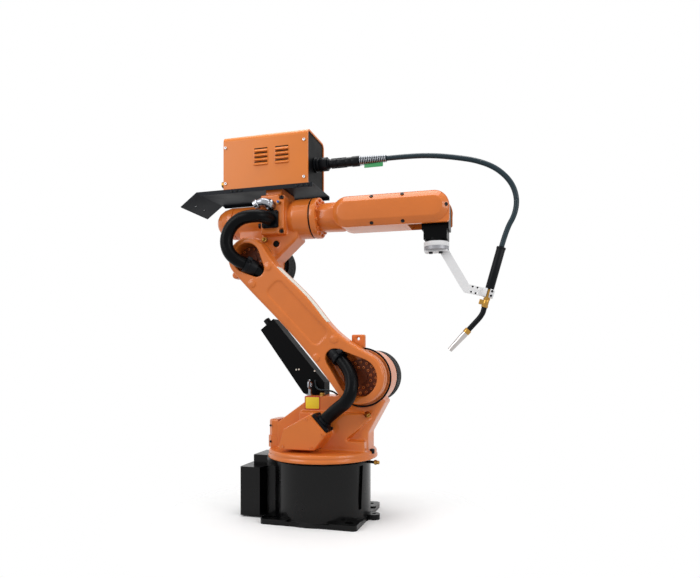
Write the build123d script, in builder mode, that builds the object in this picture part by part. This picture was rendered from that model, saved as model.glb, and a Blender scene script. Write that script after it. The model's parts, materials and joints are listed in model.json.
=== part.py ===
from build123d import *
from math import cos, pi, radians, sin, tan
import os

# Six-axis arc-welding robot arm with its wire feeder, torch and hoses.
# Origin: centre of the base on the floor, under the first axis.
# +X is the way the arm reaches, +Z is up, and the arm's open side faces -Y.
# All lengths are in millimetres, all angles in degrees.
# Sizes named rise, drop, ahead or behind count from the axis or face that their heading gives.

# Joint axes in the modelled pose
shoulder_x = 157.0
shoulder_z = 483.0
lower_arm_length = 567.0
lower_arm_lean = 44.1
elbow_to_forearm_axis = 146.0
forearm_reach = 633.0
running_gap = 0.3
moving_clearance = 6.0

# Base
base_plate_side = 332.0
base_plate_thickness = 14.0
base_foot_length = 98.0
base_foot_width = 76.0
base_foot_thickness = 18.0
base_foot_corner = 14.0
base_slot_width = 18.0
base_slot_length = 30.0
base_slot_spacing = 268.0
base_column_radius = 166.0
base_column_height = 199.0
base_flare_height = 16.0
base_flare_reach = 5.0
base_lug_reach = 203.0
base_lug_width = 40.0
base_lug_hole = 14.0
base_recess_angle = -24.0
base_recess_top = 190.0
base_recess_bottom = 46.0
base_recess_top_width = 34.0
base_recess_bottom_width = 14.0
base_recess_depth = 8.0

# Connector box and its raised block, behind the base
connector_box_rear = 269.0
connector_box_width = 200.0
connector_box_corner_x = -195.0
connector_box_neck_x = -184.0
connector_box_neck_width = 120.0
connector_box_bottom = 5.0
connector_box_height = 168.0
connector_box_edge_round = 4.0
connector_block_rear = 241.0
connector_block_front_y = -50.0
connector_block_width = 110.0
connector_block_height = 35.0

# Turret: rises count from the top of the rim, drops from the shoulder axis
turret_bottom = 208.0
ring_radius = 190.0
ring_rim_height = 18.0
ring_step = 4.0
ring_step_height = 10.0
spigot_radius = 150.0
column_half_width = 62.0
column_rear = 151.0
column_rear_rise = 88.0
column_slope_end_x = -48.0
column_slope_end_drop = 20.0
column_front = 172.0
column_knee_rise = 59.0
column_shoulder_ahead = 74.0
column_shoulder_drop = 80.0
column_top_drop = 65.0
column_edge_round = 22.0
lug_front_x = 62.0
shoulder_hub_radius = 93.0
shoulder_hub_front = 52.0
front_body_depth = 74.0
front_body_left = -62.0
front_body_rise = 128.0
front_body_flat_end = 160.0
front_body_right = 190.0
front_body_corner_drop = 15.0
front_body_tail_x = 101.0
front_body_tail_rise = 35.0
front_pad_right = 168.0
cable_housing_depth = 148.0
cable_housing_rise = 10.0
cable_housing_left = -107.0
cable_housing_left_top = (-89.0, 77.0)
cable_housing_peak = (2.0, 127.0)
cable_housing_side = (60.0, 64.0)
cable_housing_foot = 20.0
cable_housing_edge_round = 5.0
housing_cover_inset = 3.0
housing_cover_sheet = 4.0
motor_cover_left = 190.0
motor_cover_width = 100.0
motor_cover_corner = 14.0
motor_cover_rise = 98.0
motor_cover_ledge_rise = 41.0
motor_cover_ledge = 3.0
motor_cover_edge_round = 8.0
gland_length = 76.0
gland_width = 60.0
gland_corner = 8.0
gland_plate = 9.0
gland_collar = 9.0
gland_collar_wall = 4.0
gland_run = 22.0
gland_depth = 108.0
shoulder_tab_behind = 16.0
shoulder_tab_width = 46.0
shoulder_tab_thickness = 18.0
shoulder_tab_rise = 143.0
shoulder_tab_length = 80.0
shoulder_tab_hole = 12.0
shoulder_tab_hole_drop = 14.0
eye_x = -40.0
eye_y = -24.0
eye_height = 38.0
eye_ring_radius = 14.0
eye_wire_radius = 4.5
eye_stem_radius = 6.0
eye_collar_radius = 11.0
eye_collar_height = 5.0
plug_radius = 10.0
plug_height = 8.0
top_plug_place = (20.0, -26.0)
front_plug_x = 150.0
front_plug_drop = 18.0

# Utility box leaning behind the arm: heights count from the column's top
utility_box_front = 2.0
utility_box_depth = 58.0
utility_box_top_left = (-239.0, 231.0)
utility_box_top_right = (-190.0, 270.0)
utility_box_foot_right = (4.0, 44.0)
utility_box_foot_left = (-75.0, 6.0)
utility_box_seat_left = -62.0
utility_plug_radius = 12.0
utility_plug_length = 24.0

# Servo motors with cooling fins
motor_fin_count = 9
motor_fin_pitch = 8.0
motor_fin_thickness = 4.0
shoulder_motor_radius = 92.0
elbow_motor_radius = 84.0
fin_depth = 9.0
motor_collar_length = 14.0
motor_cap_length = 12.0

# Lower arm: distances count from the shoulder axis, the waist is on the upper edge
arm_back = 58.0
arm_depth = 60.0
arm_big_radius = 87.0
arm_small_radius = 70.0
arm_leave_angle = 18.0
arm_meet_angle = 12.0
arm_waist = (186.0, 52.0)
arm_upper_middle = (300.0, 61.0)
arm_upper_end_behind = 117.0
arm_upper_end_width = 57.0
arm_lower_start = (134.0, 72.0)
arm_lower_middle = (300.0, 66.0)
arm_lower_end_behind = 95.0
arm_lower_end_width = 70.0
arm_edge_round = 10.0
pocket_floor = 8.0
low_pocket_radius = 64.0
low_pocket_tip_radius = 32.0
low_pocket_tip_distance = 100.0
low_pocket_tip_shift = 12.0
high_pocket_radius = 50.0
high_pocket_tip_radius = 27.0
high_pocket_tip_distance = 56.0
arm_panel_start = 170.0
arm_panel_margin = 135.0
arm_panel_half_width = 34.0
arm_panel_corner = 22.0
arm_panel_depth = 3.0
arm_tunnel_width = 54.0
arm_tunnel_depth = 50.0
arm_tunnel_margin = 50.0
arm_boss_radius = 11.0
arm_boss_height = 3.0
arm_low_boss_distance = 144.0
arm_low_boss_sides = (-30.0, 56.0)
arm_high_boss_behind = 82.0
arm_high_boss_sides = (-34.0, 46.0)
arm_lug_radius = 13.0
arm_lug_reach = 77.0
arm_lug_thickness = 30.0
flange_disc_thickness = 6.0
flange_disc_inset = 4.0
flange_bolt_inset = 9.0
flange_bolt_radius = 4.5
flange_bolt_height = 4.0
flange_hub_radius = 22.0
flange_hub_height = 5.0
low_flange_bolt_count = 16
high_flange_bolt_count = 12
seal_inset = 4.0
seal_thickness = 4.0

# Elbow casting and forearm drive: ahead and behind count from the elbow axis,
# rise and drop from the forearm axis
elbow_hub_radius = 73.0
elbow_hub_front = 52.0
elbow_hub_rear = 50.0
elbow_neck_margin = 8.0
elbow_neck_half_width = 62.0
drive_tube_radius = 69.0
drive_tube_neck_radius = 58.0
drive_tube_flare = 26.0
forearm_joint_ahead = 208.6
connection_block_ahead = 33.6
connection_block_length = 86.0
connection_block_depth = 75.0
connection_block_rear = 62.0
connection_block_drop = 61.0
connection_block_rise = 74.0
connection_block_corner = 5.0
connection_notch = 18.0
connection_notch_depth = 10.0
rear_cylinder_radius = 57.0
rear_cylinder_behind = 88.4
rear_cap_length = 74.0
rear_cap_taper = 4.0
rear_cap_rim = 1.0
rear_cap_rim_length = 9.0
rear_cap_round = 10.0
web_front = 44.0
web_thickness = 22.0
web_reach = 157.0
web_hole_diameter = 22.0
web_hole_ahead = 78.6
web_hole_drop = 89.0
rib_half_width = 38.0
rib_thickness = 13.0
rib_foot = (62.0, -12.0)
rib_overlap = 8.0
tray_post_width = 60.0
conduit_flange_side = 60.0
conduit_flange_corner = 6.0
conduit_flange_thickness = 7.0
conduit_flange_ahead = 38.0
conduit_flange_height = 50.0
connector_ahead = 46.0
connector_top_gap = 33.0
connector_body_radius = 17.0
connector_body_length = 26.0
connector_arm_radius = 13.0
connector_arm_length = 48.0
connector_arm_inset = 9.0
air_fitting_radius = 7.0
air_fitting_length = 12.0
air_fitting_ahead = 71.0
air_fitting_top_gap = 29.0

# Wire feeder on its tray: ahead and behind count from the elbow axis
tray_rise = 104.8
tray_sheet = 4.0
tray_flange = 14.0
tray_flange_bevel = 16.0
tray_front = 78.0
tray_rear = 108.0
tray_behind = 215.0
tray_ahead = 225.6
tray_tongue_length = 80.0
tray_tongue_slope = 36.0
tray_hole = 9.0
tray_hole_spacing = 60.0
tray_hole_reach = 52.0
feeder_behind = 109.4
feeder_ahead = 207.6
feeder_front = 74.0
feeder_rear = 97.0
feeder_height = 188.0
feeder_edge_round = 20.0
feeder_end_recess = 8.0
feeder_cover_sheet = 6.0
end_panel_thickness = 5.0
louvre_columns = 2
louvre_rows = 4
louvre_length = 50.0
louvre_height = 5.0
louvre_depth = 3.0
louvre_column_pitch = 78.0
louvre_row_pitch = 12.5
louvre_ahead = 74.0
louvre_rise = 106.0
inlet_radius = 11.0
inlet_length = 22.0
inlet_places = ((55.0, 28.0), (20.0, 40.0))
torch_line_rise = 85.0
torch_line_y = 8.0
torch_socket_radius = 24.0
torch_socket_length = 22.0
torch_plug_radius = 25.0
torch_plug_length = 60.0
torch_plug_taper = 79.0
relief_length = 98.0
relief_radius = 14.0
relief_end_wall = 2.0

# Forearm: ahead counts from the drive joint, behind from the wrist axis
forearm_flange_radius = 70.0
forearm_flange_length = 21.0
forearm_neck_radius = 44.0
forearm_neck_length = 44.0
forearm_rib_count = 12
forearm_rib_height = 17.0
forearm_rib_thickness = 6.0
forearm_rib_length = 36.0
forearm_taper_length = 52.0
forearm_taper_inset = 17.0
forearm_taper_round = 32.0
forearm_half_height = 62.0
forearm_half_width = 64.0
forearm_edge_round = 26.0
forearm_end_radius = 46.0
forearm_cheek_behind = 43.4
forearm_cheek_overlap = 16.0
forearm_cover_behind = 338.0
forearm_cover_ahead = 32.0
forearm_cover_half_height = 41.0
forearm_cover_thickness = 11.0
forearm_cover_bevel = 7.0
fork_slot_half_width = 39.0
fork_slot_top_behind = 65.4
fork_slot_bottom_behind = 103.4
fork_slot_top_drop = 20.0
wrist_cap_radius = 46.0
wrist_cap_height = 9.0
wrist_cap_bevel = 4.0
wrist_hub_radius = 44.0
wrist_half_width = 34.0
wrist_collar_drop = 70.0
wrist_collar_step = 6.0
wrist_flange_drop = 107.5
wrist_flange_height = 6.0
wrist_flange_radius = 36.0
wrist_pin_radius = 30.0

# Torch mount, bracket and torch: places count from the wrist axis
mount_block_drop = 134.0
mount_block_radius = 41.0
mount_screw_radius = 6.5
mount_screw_height = 6.0
mount_screw_y = -12.0
mount_screw_places = (-17.0, 15.0)
bracket_foot_sheet = 6.0
bracket_foot_half_length = 38.0
bracket_foot_half_width = 20.0
bracket_thickness = 9.0
bracket_root = (9.0, 42.0)
bracket_outer_corner = (106.6, -250.0)
bracket_inner_corner = (78.6, -259.0)
bracket_inner_bend = (89.6, -275.0)
bracket_hole_radius = 3.0
bracket_hole_pitch = (16.0, 15.0)
bracket_hole_reach = 42.0
clamp_length = 27.0
clamp_half_depth = 17.0
clamp_half_width = 17.0
handle_top = (207.6, -134.2)
handle_bottom = (170.6, -267.2)
handle_radius = 15.5
handle_taper = 20.0
handle_end_wall = 3.0
torch_body_radius = 8.5
torch_body_length = 62.0
torch_lug_side = 14.0
torch_lug_reach = 12.0
neck_run = 24.0
neck_bend = 80.0
neck_radius = 8.2
neck_end = (98.6, -403.2)
nozzle_collar_radius = 10.5
nozzle_collar_length = 12.0
nozzle_radius = 11.0
nozzle_tip_radius = 8.0
nozzle_length = 70.0
nozzle_wall = 2.0
nozzle_bore_depth = 20.0

# Hoses
torch_cable_diameter = 17.0
torch_cable_run = 60.0
conduit_diameter = 44.0
conduit_run = 46.0

os.makedirs("parts", exist_ok=True)

# Values worked out from the sizes above
lean = radians(lower_arm_lean)
arm_direction = (-sin(lean), 0, cos(lean))
elbow_x = shoulder_x - lower_arm_length * sin(lean)
elbow_z = shoulder_z + lower_arm_length * cos(lean)
forearm_axis_z = elbow_z + elbow_to_forearm_axis
wrist_x = elbow_x + forearm_reach
ring_top = turret_bottom + ring_rim_height + ring_step_height
column_top = shoulder_z - column_top_drop
arm_front = arm_back + arm_depth
pocket_bottom = arm_back + pocket_floor


def side_plane(depth):
    """Plane facing -Y, at the given depth in front of the first axis."""
    return Plane.XZ.offset(depth)


def arm_plane(depth):
    """Plane facing -Y whose x axis runs from the shoulder axis to the elbow axis."""
    return Plane(origin=(shoulder_x, -depth, shoulder_z), x_dir=arm_direction, z_dir=(0, -1, 0))


def cross_plane(x):
    """Plane facing +X at the given place along the forearm axis."""
    return Plane(origin=(x, 0, forearm_axis_z), x_dir=(0, 1, 0), z_dir=(1, 0, 0))


def wrist_point(place):
    """Point in the plane of the arm, from its place ahead of and above the wrist axis."""
    return Vector(wrist_x + place[0], 0, forearm_axis_z + place[1])


def save(builder, name):
    """Label a finished piece and write it as its own STEP file."""
    builder.part.label = name
    export_step(builder.part, f"parts/{name}.step")


# Base casting: round column on a plate with four slotted feet, a side lug and a cable recess
base_lug_centre = base_lug_reach - base_lug_width / 2
recess_plane = Plane.YZ.rotated((0, 0, base_recess_angle)).offset(base_column_radius - base_recess_depth)
with BuildPart() as base_casting:
    with BuildSketch(Plane.XY):
        RectangleRounded(base_plate_side, base_plate_side, base_foot_corner)
    extrude(amount=base_plate_thickness)
    with BuildSketch(Plane.XY):
        with GridLocations(base_plate_side - base_foot_length, base_plate_side - base_foot_width, 2, 2):
            RectangleRounded(base_foot_length, base_foot_width, base_foot_corner)
        with Locations((base_lug_centre, 0)):
            Circle(base_lug_width / 2)
        with Locations((base_lug_centre / 2, 0)):
            Rectangle(base_lug_centre, base_lug_width)
    extrude(amount=base_foot_thickness)
    with BuildSketch(Plane.XY):
        Circle(base_column_radius + base_flare_reach)
    with BuildSketch(Plane.XY.offset(base_flare_height)):
        Circle(base_column_radius)
    loft()
    with BuildSketch(Plane.XY):
        Circle(base_column_radius)
    extrude(amount=base_column_height)
    with BuildSketch(Plane.XY.offset(base_column_height)):
        Circle(spigot_radius)
    extrude(amount=turret_bottom - running_gap - base_column_height)
    with BuildSketch(recess_plane):
        with BuildLine():
            Polyline(
                (-base_recess_top_width / 2, base_recess_top),
                (-base_recess_bottom_width / 2, base_recess_bottom),
                (base_recess_bottom_width / 2, base_recess_bottom),
                (base_recess_top_width / 2, base_recess_top),
                close=True,
            )
        make_face()
    extrude(amount=2 * base_recess_depth, mode=Mode.SUBTRACT)
    with BuildSketch(Plane.XY):
        with GridLocations(base_slot_spacing, base_slot_spacing, 2, 2):
            SlotOverall(base_slot_length, base_slot_width)
        with Locations((base_lug_centre, 0)):
            Circle(base_lug_hole / 2)
    extrude(amount=base_foot_thickness, mode=Mode.SUBTRACT)
save(base_casting, "base_casting")

# Connector box behind the base, with its narrow neck against the column
connector_box_top = connector_box_bottom + connector_box_height
with BuildPart() as connector_box:
    with BuildSketch(Plane.XY.offset(connector_box_bottom)):
        with BuildLine():
            Polyline(
                (-connector_box_rear, -connector_box_width / 2),
                (connector_box_corner_x, -connector_box_width / 2),
                (connector_box_neck_x, -connector_box_neck_width / 2),
                (0, -connector_box_neck_width / 2),
                (0, connector_box_neck_width / 2),
                (connector_box_neck_x, connector_box_neck_width / 2),
                (connector_box_corner_x, connector_box_width / 2),
                (-connector_box_rear, connector_box_width / 2),
                close=True,
            )
        make_face()
    extrude(amount=connector_box_height)
    rear_edges = connector_box.edges().filter_by(Axis.Z).group_by(Axis.X)[0]
    fillet(rear_edges, connector_box_edge_round)
    with BuildSketch(Plane.XY):
        Circle(base_column_radius)
    extrude(amount=connector_box_top, mode=Mode.SUBTRACT)
    add(base_casting.part, mode=Mode.SUBTRACT)
save(connector_box, "connector_box")

# Raised block on the box, cut round to clear the turning rim and the column under it
connector_block_hollow = max(ring_radius, base_column_radius) + moving_clearance
with BuildPart() as connector_block:
    with BuildSketch(Plane.XY.offset(connector_box_top)):
        with Locations((-connector_block_rear, connector_block_front_y)):
            Rectangle(connector_block_rear, connector_block_width, align=(Align.MIN, Align.MIN))
        Circle(connector_block_hollow, mode=Mode.SUBTRACT)
    extrude(amount=connector_block_height)
save(connector_block, "connector_block")

# Turret casting: rim, column with its shoulder hub, front body, cable housing and tab
tab_x = shoulder_x - shoulder_tab_behind
tab_top = shoulder_z + shoulder_tab_rise
housing_outline = (
    (cable_housing_left, ring_top + cable_housing_rise),
    (cable_housing_left_top[0], ring_top + cable_housing_left_top[1]),
    (cable_housing_peak[0], ring_top + cable_housing_peak[1]),
    (cable_housing_side[0], ring_top + cable_housing_side[1]),
    (cable_housing_foot, ring_top + cable_housing_rise),
)
with BuildPart() as turret_casting:
    with BuildSketch(side_plane(shoulder_hub_front)):
        with BuildLine():
            Polyline(
                (-column_rear, ring_top),
                (-column_rear, ring_top + column_rear_rise),
                (column_slope_end_x, column_top - column_slope_end_drop),
                (column_slope_end_x, column_top),
                (lug_front_x, column_top),
                (shoulder_x, shoulder_z),
                (shoulder_x + column_shoulder_ahead, shoulder_z - column_shoulder_drop),
                (column_front, ring_top + column_knee_rise),
                (column_front, ring_top),
                close=True,
            )
        make_face()
    extrude(amount=-(shoulder_hub_front + column_half_width))
    right_side = turret_casting.faces().filter_by(lambda f: f.center().X > column_front - 1)
    right_faces = [f for f in right_side if f.normal_at().X > 0.5]
    right_edges = [e for f in right_faces for e in f.edges() if abs(e.tangent_at(0).Y) < 0.1]
    fillet(right_edges, column_edge_round)
    with BuildSketch(side_plane(shoulder_hub_front)):
        with Locations((shoulder_x, shoulder_z)):
            Circle(shoulder_hub_radius)
    extrude(amount=-(shoulder_hub_front + column_half_width))
    with BuildSketch(side_plane(front_body_depth)):
        with BuildLine():
            Polyline(
                (front_body_left, ring_top),
                (front_body_left, ring_top + front_body_rise),
                (front_body_flat_end, ring_top + front_body_rise),
                (front_body_right, ring_top + front_body_rise - front_body_corner_drop),
                (front_body_tail_x, ring_top + front_body_tail_rise),
                (front_body_tail_x, ring_top),
                close=True,
            )
        make_face()
        with Locations((front_body_tail_x, ring_top)):
            Rectangle(front_pad_right - front_body_tail_x, front_body_tail_rise, align=(Align.MIN, Align.MIN))
    extrude(amount=-front_body_depth)
    with BuildSketch(side_plane(cable_housing_depth)):
        with BuildLine():
            Polyline(*housing_outline, close=True)
        make_face()
    extrude(amount=-(cable_housing_depth - shoulder_hub_front))
    housing_corners = turret_casting.edges().filter_by(Axis.Y).group_by(lambda e: e.center().Y)[0]
    fillet(housing_corners, cable_housing_edge_round)
    with BuildSketch(side_plane(shoulder_hub_front)):
        with Locations((tab_x, tab_top)):
            Rectangle(shoulder_tab_width, shoulder_tab_length, align=(Align.CENTER, Align.MAX))
        with Locations((tab_x, tab_top - shoulder_tab_hole_drop)):
            Circle(shoulder_tab_hole / 2, mode=Mode.SUBTRACT)
    extrude(amount=-shoulder_tab_thickness)
    with BuildSketch(Plane.XY.offset(turret_bottom)):
        Circle(ring_radius)
    extrude(amount=ring_rim_height)
    with BuildSketch(Plane.XY.offset(turret_bottom + ring_rim_height)):
        Circle(ring_radius - ring_step)
    extrude(amount=ring_step_height)
save(turret_casting, "turret_casting")

# Cover over the first axis motor: a lower shell with a ledge and an upper one
with BuildPart() as axis1_motor_cover:
    for ledge, bottom, top in (
        (0, 0, motor_cover_ledge_rise),
        (motor_cover_ledge, motor_cover_ledge_rise, motor_cover_rise),
    ):
        with BuildSketch(Plane.XY.offset(ring_top + bottom)):
            with BuildLine():
                half = motor_cover_width / 2 - ledge
                left = -motor_cover_left + ledge
                Polyline(
                    (-column_rear, -half),
                    (left + motor_cover_corner, -half),
                    (left, -half + motor_cover_corner),
                    (left, half - motor_cover_corner),
                    (left + motor_cover_corner, half),
                    (-column_rear, half),
                    close=True,
                )
            make_face()
        extrude(amount=top - bottom)
    top_edges = axis1_motor_cover.faces().sort_by(Axis.Z)[-1].edges()
    fillet([e for e in top_edges if e.center().X < -column_rear - 1], motor_cover_edge_round)
save(axis1_motor_cover, "axis1_motor_cover")

# Five-sided cover plate on the cable housing
with BuildPart() as cable_housing_cover:
    with BuildSketch(side_plane(cable_housing_depth)):
        with BuildLine():
            Polyline(*housing_outline, close=True)
        make_face()
        offset(amount=-housing_cover_inset, mode=Mode.REPLACE)
    extrude(amount=housing_cover_sheet)
save(cable_housing_cover, "cable_housing_cover")

# Gland on the housing's slanted side, where the lower conduit comes out
gland_top = Vector(housing_outline[2][0], -gland_depth, housing_outline[2][1])
gland_low = Vector(housing_outline[3][0], -gland_depth, housing_outline[3][1])
gland_slope = gland_low - gland_top
gland_plane = Plane(
    origin=(gland_top + gland_low) / 2,
    x_dir=(0, 1, 0),
    z_dir=(-gland_slope.Z, 0, gland_slope.X),
)
with BuildPart() as lower_conduit_gland:
    with BuildSketch(gland_plane):
        RectangleRounded(gland_width, gland_length, gland_corner)
    extrude(amount=gland_plate)
    with BuildSketch(gland_plane.offset(gland_plate)):
        Circle(conduit_diameter / 2 + gland_collar_wall)
    extrude(amount=gland_collar)
save(lower_conduit_gland, "lower_conduit_gland")

# Lifting eye on the turret's rear lug
with BuildPart() as lifting_eye:
    with Locations(Location((eye_x, eye_y, column_top + eye_height), (0, 90, 0))):
        Torus(eye_ring_radius, eye_wire_radius)
    with BuildSketch(Plane.XY.offset(column_top)):
        with Locations((eye_x, eye_y)):
            Circle(eye_stem_radius)
    extrude(amount=eye_height - eye_ring_radius)
    with BuildSketch(Plane.XY.offset(column_top)):
        with Locations((eye_x, eye_y)):
            Circle(eye_collar_radius)
    extrude(amount=eye_collar_height)
save(lifting_eye, "lifting_eye")

# Oil plugs on top of the column and on the front body
with BuildPart() as oil_plugs:
    with BuildSketch(Plane.XY.offset(column_top)):
        with Locations(top_plug_place):
            RegularPolygon(plug_radius, 6)
    extrude(amount=plug_height)
    with BuildSketch(side_plane(front_body_depth)):
        with Locations((front_plug_x, ring_top + front_body_rise - front_plug_drop)):
            RegularPolygon(plug_radius, 6)
    extrude(amount=plug_height)
save(oil_plugs, "oil_plugs")


def finned_motor(name, x, z, back, radius):
    """Round servo motor with cooling fins, standing behind its gearbox hub."""
    fins_length = motor_fin_count * motor_fin_pitch
    with BuildPart() as motor:
        with BuildSketch(side_plane(-back)):
            with Locations((x, z)):
                Circle(radius - fin_depth)
        extrude(amount=-(motor_collar_length + fins_length + motor_cap_length))
        for i in range(motor_fin_count):
            with BuildSketch(side_plane(-(back + motor_collar_length + i * motor_fin_pitch))):
                with Locations((x, z)):
                    Circle(radius)
            extrude(amount=-motor_fin_thickness)
    save(motor, name)


finned_motor("axis2_motor", shoulder_x, shoulder_z, column_half_width, shoulder_motor_radius)
finned_motor("axis3_motor", elbow_x, elbow_z, elbow_hub_rear, elbow_motor_radius)


def side_seal(name, x, z, hub_front, radius):
    """Seal ring in the running gap between a hub and the lower arm."""
    with BuildPart() as seal:
        with BuildSketch(side_plane(hub_front)):
            with Locations((x, z)):
                Circle(radius - seal_inset)
        extrude(amount=arm_back - hub_front - running_gap)
    save(seal, name)


side_seal("shoulder_seal", shoulder_x, shoulder_z, shoulder_hub_front, arm_big_radius)
side_seal("elbow_seal", elbow_x, elbow_z, elbow_hub_front, arm_small_radius)

# Utility box leaning behind the arm
box_top_left = Vector(utility_box_top_left[0], 0, column_top + utility_box_top_left[1])
box_top_right = Vector(utility_box_top_right[0], 0, column_top + utility_box_top_right[1])
box_top_run = box_top_right - box_top_left
with BuildPart() as utility_box:
    with BuildSketch(side_plane(-utility_box_front)):
        with BuildLine():
            Polyline(
                (box_top_left.X, box_top_left.Z),
                (box_top_right.X, box_top_right.Z),
                (utility_box_foot_right[0], column_top + utility_box_foot_right[1]),
                (utility_box_foot_right[0], column_top),
                (utility_box_seat_left, column_top),
                (utility_box_foot_left[0], column_top + utility_box_foot_left[1]),
                close=True,
            )
        make_face()
    extrude(amount=-utility_box_depth)
save(utility_box, "utility_box")

plug_plane = Plane(
    origin=(box_top_left + box_top_right) / 2 + Vector(0, utility_box_front + utility_box_depth / 2, 0),
    x_dir=(0, 1, 0),
    z_dir=(-box_top_run.Z, 0, box_top_run.X),
)
with BuildPart() as utility_box_plug:
    with BuildSketch(plug_plane):
        Circle(utility_plug_radius)
    extrude(amount=utility_plug_length)
save(utility_box_plug, "utility_box_plug")

# Lower arm casting: waisted outline, pear-shaped pockets at both joints, a tunnel between them
leave = radians(arm_leave_angle)
meet = radians(arm_meet_angle)
upper_start = (arm_big_radius * sin(leave), -arm_big_radius * cos(leave))
upper_stop = (lower_arm_length - arm_small_radius * sin(meet), -arm_small_radius * cos(meet))
lower_start = (arm_big_radius * sin(leave / 2), arm_big_radius * cos(leave / 2))
lower_stop = (lower_arm_length, arm_small_radius)
with BuildPart() as lower_arm_casting:
    with BuildSketch(arm_plane(arm_back)):
        with BuildLine():
            Spline(
                upper_start,
                (arm_waist[0], -arm_waist[1]),
                (arm_upper_middle[0], -arm_upper_middle[1]),
                (lower_arm_length - arm_upper_end_behind, -arm_upper_end_width),
                upper_stop,
                tangents=[(cos(leave), sin(leave)), (cos(meet), -sin(meet))],
            )
            Line(upper_stop, lower_stop)
            Spline(
                lower_start,
                arm_lower_start,
                arm_lower_middle,
                (lower_arm_length - arm_lower_end_behind, arm_lower_end_width),
                lower_stop,
                tangents=[(cos(leave / 2), -sin(leave / 2)), (1, 0)],
            )
            Line(lower_start, upper_start)
        make_face()
        Circle(arm_big_radius)
        with Locations((lower_arm_length, 0)):
            Circle(arm_small_radius)
    extrude(amount=arm_depth)
    front_edges = lower_arm_casting.faces().sort_by(Axis.Y)[0].edges()
    fillet(front_edges, arm_edge_round)
    with BuildSketch(arm_plane(arm_back)):
        with Locations((lower_arm_length, arm_lug_reach)):
            Circle(arm_lug_radius)
        with Locations((lower_arm_length, arm_lug_reach / 2)):
            Rectangle(2 * arm_lug_radius, arm_lug_reach)
    extrude(amount=arm_lug_thickness)
    with BuildSketch(arm_plane(arm_front - arm_boss_height)):
        for side in arm_low_boss_sides:
            with Locations((arm_low_boss_distance, side)):
                Circle(arm_boss_radius)
        for side in arm_high_boss_sides:
            with Locations((lower_arm_length - arm_high_boss_behind, side)):
                Circle(arm_boss_radius)
    extrude(amount=2 * arm_boss_height)
    with BuildSketch(arm_plane(pocket_bottom)):
        Circle(low_pocket_radius)
        with Locations((low_pocket_tip_distance, low_pocket_tip_shift)):
            Circle(low_pocket_tip_radius)
        make_hull()
    extrude(amount=arm_depth, mode=Mode.SUBTRACT)
    with BuildSketch(arm_plane(pocket_bottom)):
        with Locations((lower_arm_length, 0)):
            Circle(high_pocket_radius)
        with Locations((lower_arm_length - high_pocket_tip_distance, 0)):
            Circle(high_pocket_tip_radius)
        make_hull()
    extrude(amount=arm_depth, mode=Mode.SUBTRACT)
    arm_panel_end = lower_arm_length - arm_panel_margin
    with BuildSketch(arm_plane(arm_front - arm_panel_depth)):
        with Locations(((arm_panel_start + arm_panel_end) / 2, 0)):
            RectangleRounded(arm_panel_end - arm_panel_start, 2 * arm_panel_half_width, arm_panel_corner)
    extrude(amount=2 * arm_panel_depth, mode=Mode.SUBTRACT)
    with BuildSketch(arm_plane(arm_back + pocket_floor / 2)):
        with Locations((lower_arm_length / 2, 0)):
            Rectangle(lower_arm_length - 2 * arm_tunnel_margin, arm_tunnel_width)
    extrude(amount=arm_tunnel_depth, mode=Mode.SUBTRACT)
save(lower_arm_casting, "lower_arm_casting")


def flange_disc(name, distance, radius, bolts):
    """Gearbox flange at the bottom of an arm pocket, with its hub and its ring of bolt heads."""
    with BuildPart() as disc:
        with BuildSketch(arm_plane(pocket_bottom)):
            with Locations((distance, 0)):
                Circle(radius)
        extrude(amount=flange_disc_thickness)
        with BuildSketch(arm_plane(pocket_bottom + flange_disc_thickness)):
            with Locations((distance, 0)):
                with PolarLocations(radius - flange_bolt_inset, bolts):
                    RegularPolygon(flange_bolt_radius, 6)
        extrude(amount=flange_bolt_height)
        with BuildSketch(arm_plane(pocket_bottom + flange_disc_thickness)):
            with Locations((distance, 0)):
                Circle(flange_hub_radius)
        extrude(amount=flange_hub_height)
    save(disc, name)


flange_disc("shoulder_flange", 0, low_pocket_radius - flange_disc_inset, low_flange_bolt_count)
flange_disc("elbow_flange", lower_arm_length, high_pocket_radius - flange_disc_inset, high_flange_bolt_count)

# Places along the forearm drive
joint_x = elbow_x + forearm_joint_ahead
block_left_x = elbow_x + connection_block_ahead
block_right_x = block_left_x + connection_block_length
block_bottom_z = forearm_axis_z - connection_block_drop
block_top_z = forearm_axis_z + connection_block_rise
block_mid_x = (block_left_x + block_right_x) / 2
block_mid_y = (connection_block_rear - connection_block_depth) / 2
rear_cylinder_end_x = elbow_x - rear_cylinder_behind
tray_top_z = forearm_axis_z + tray_rise

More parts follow.
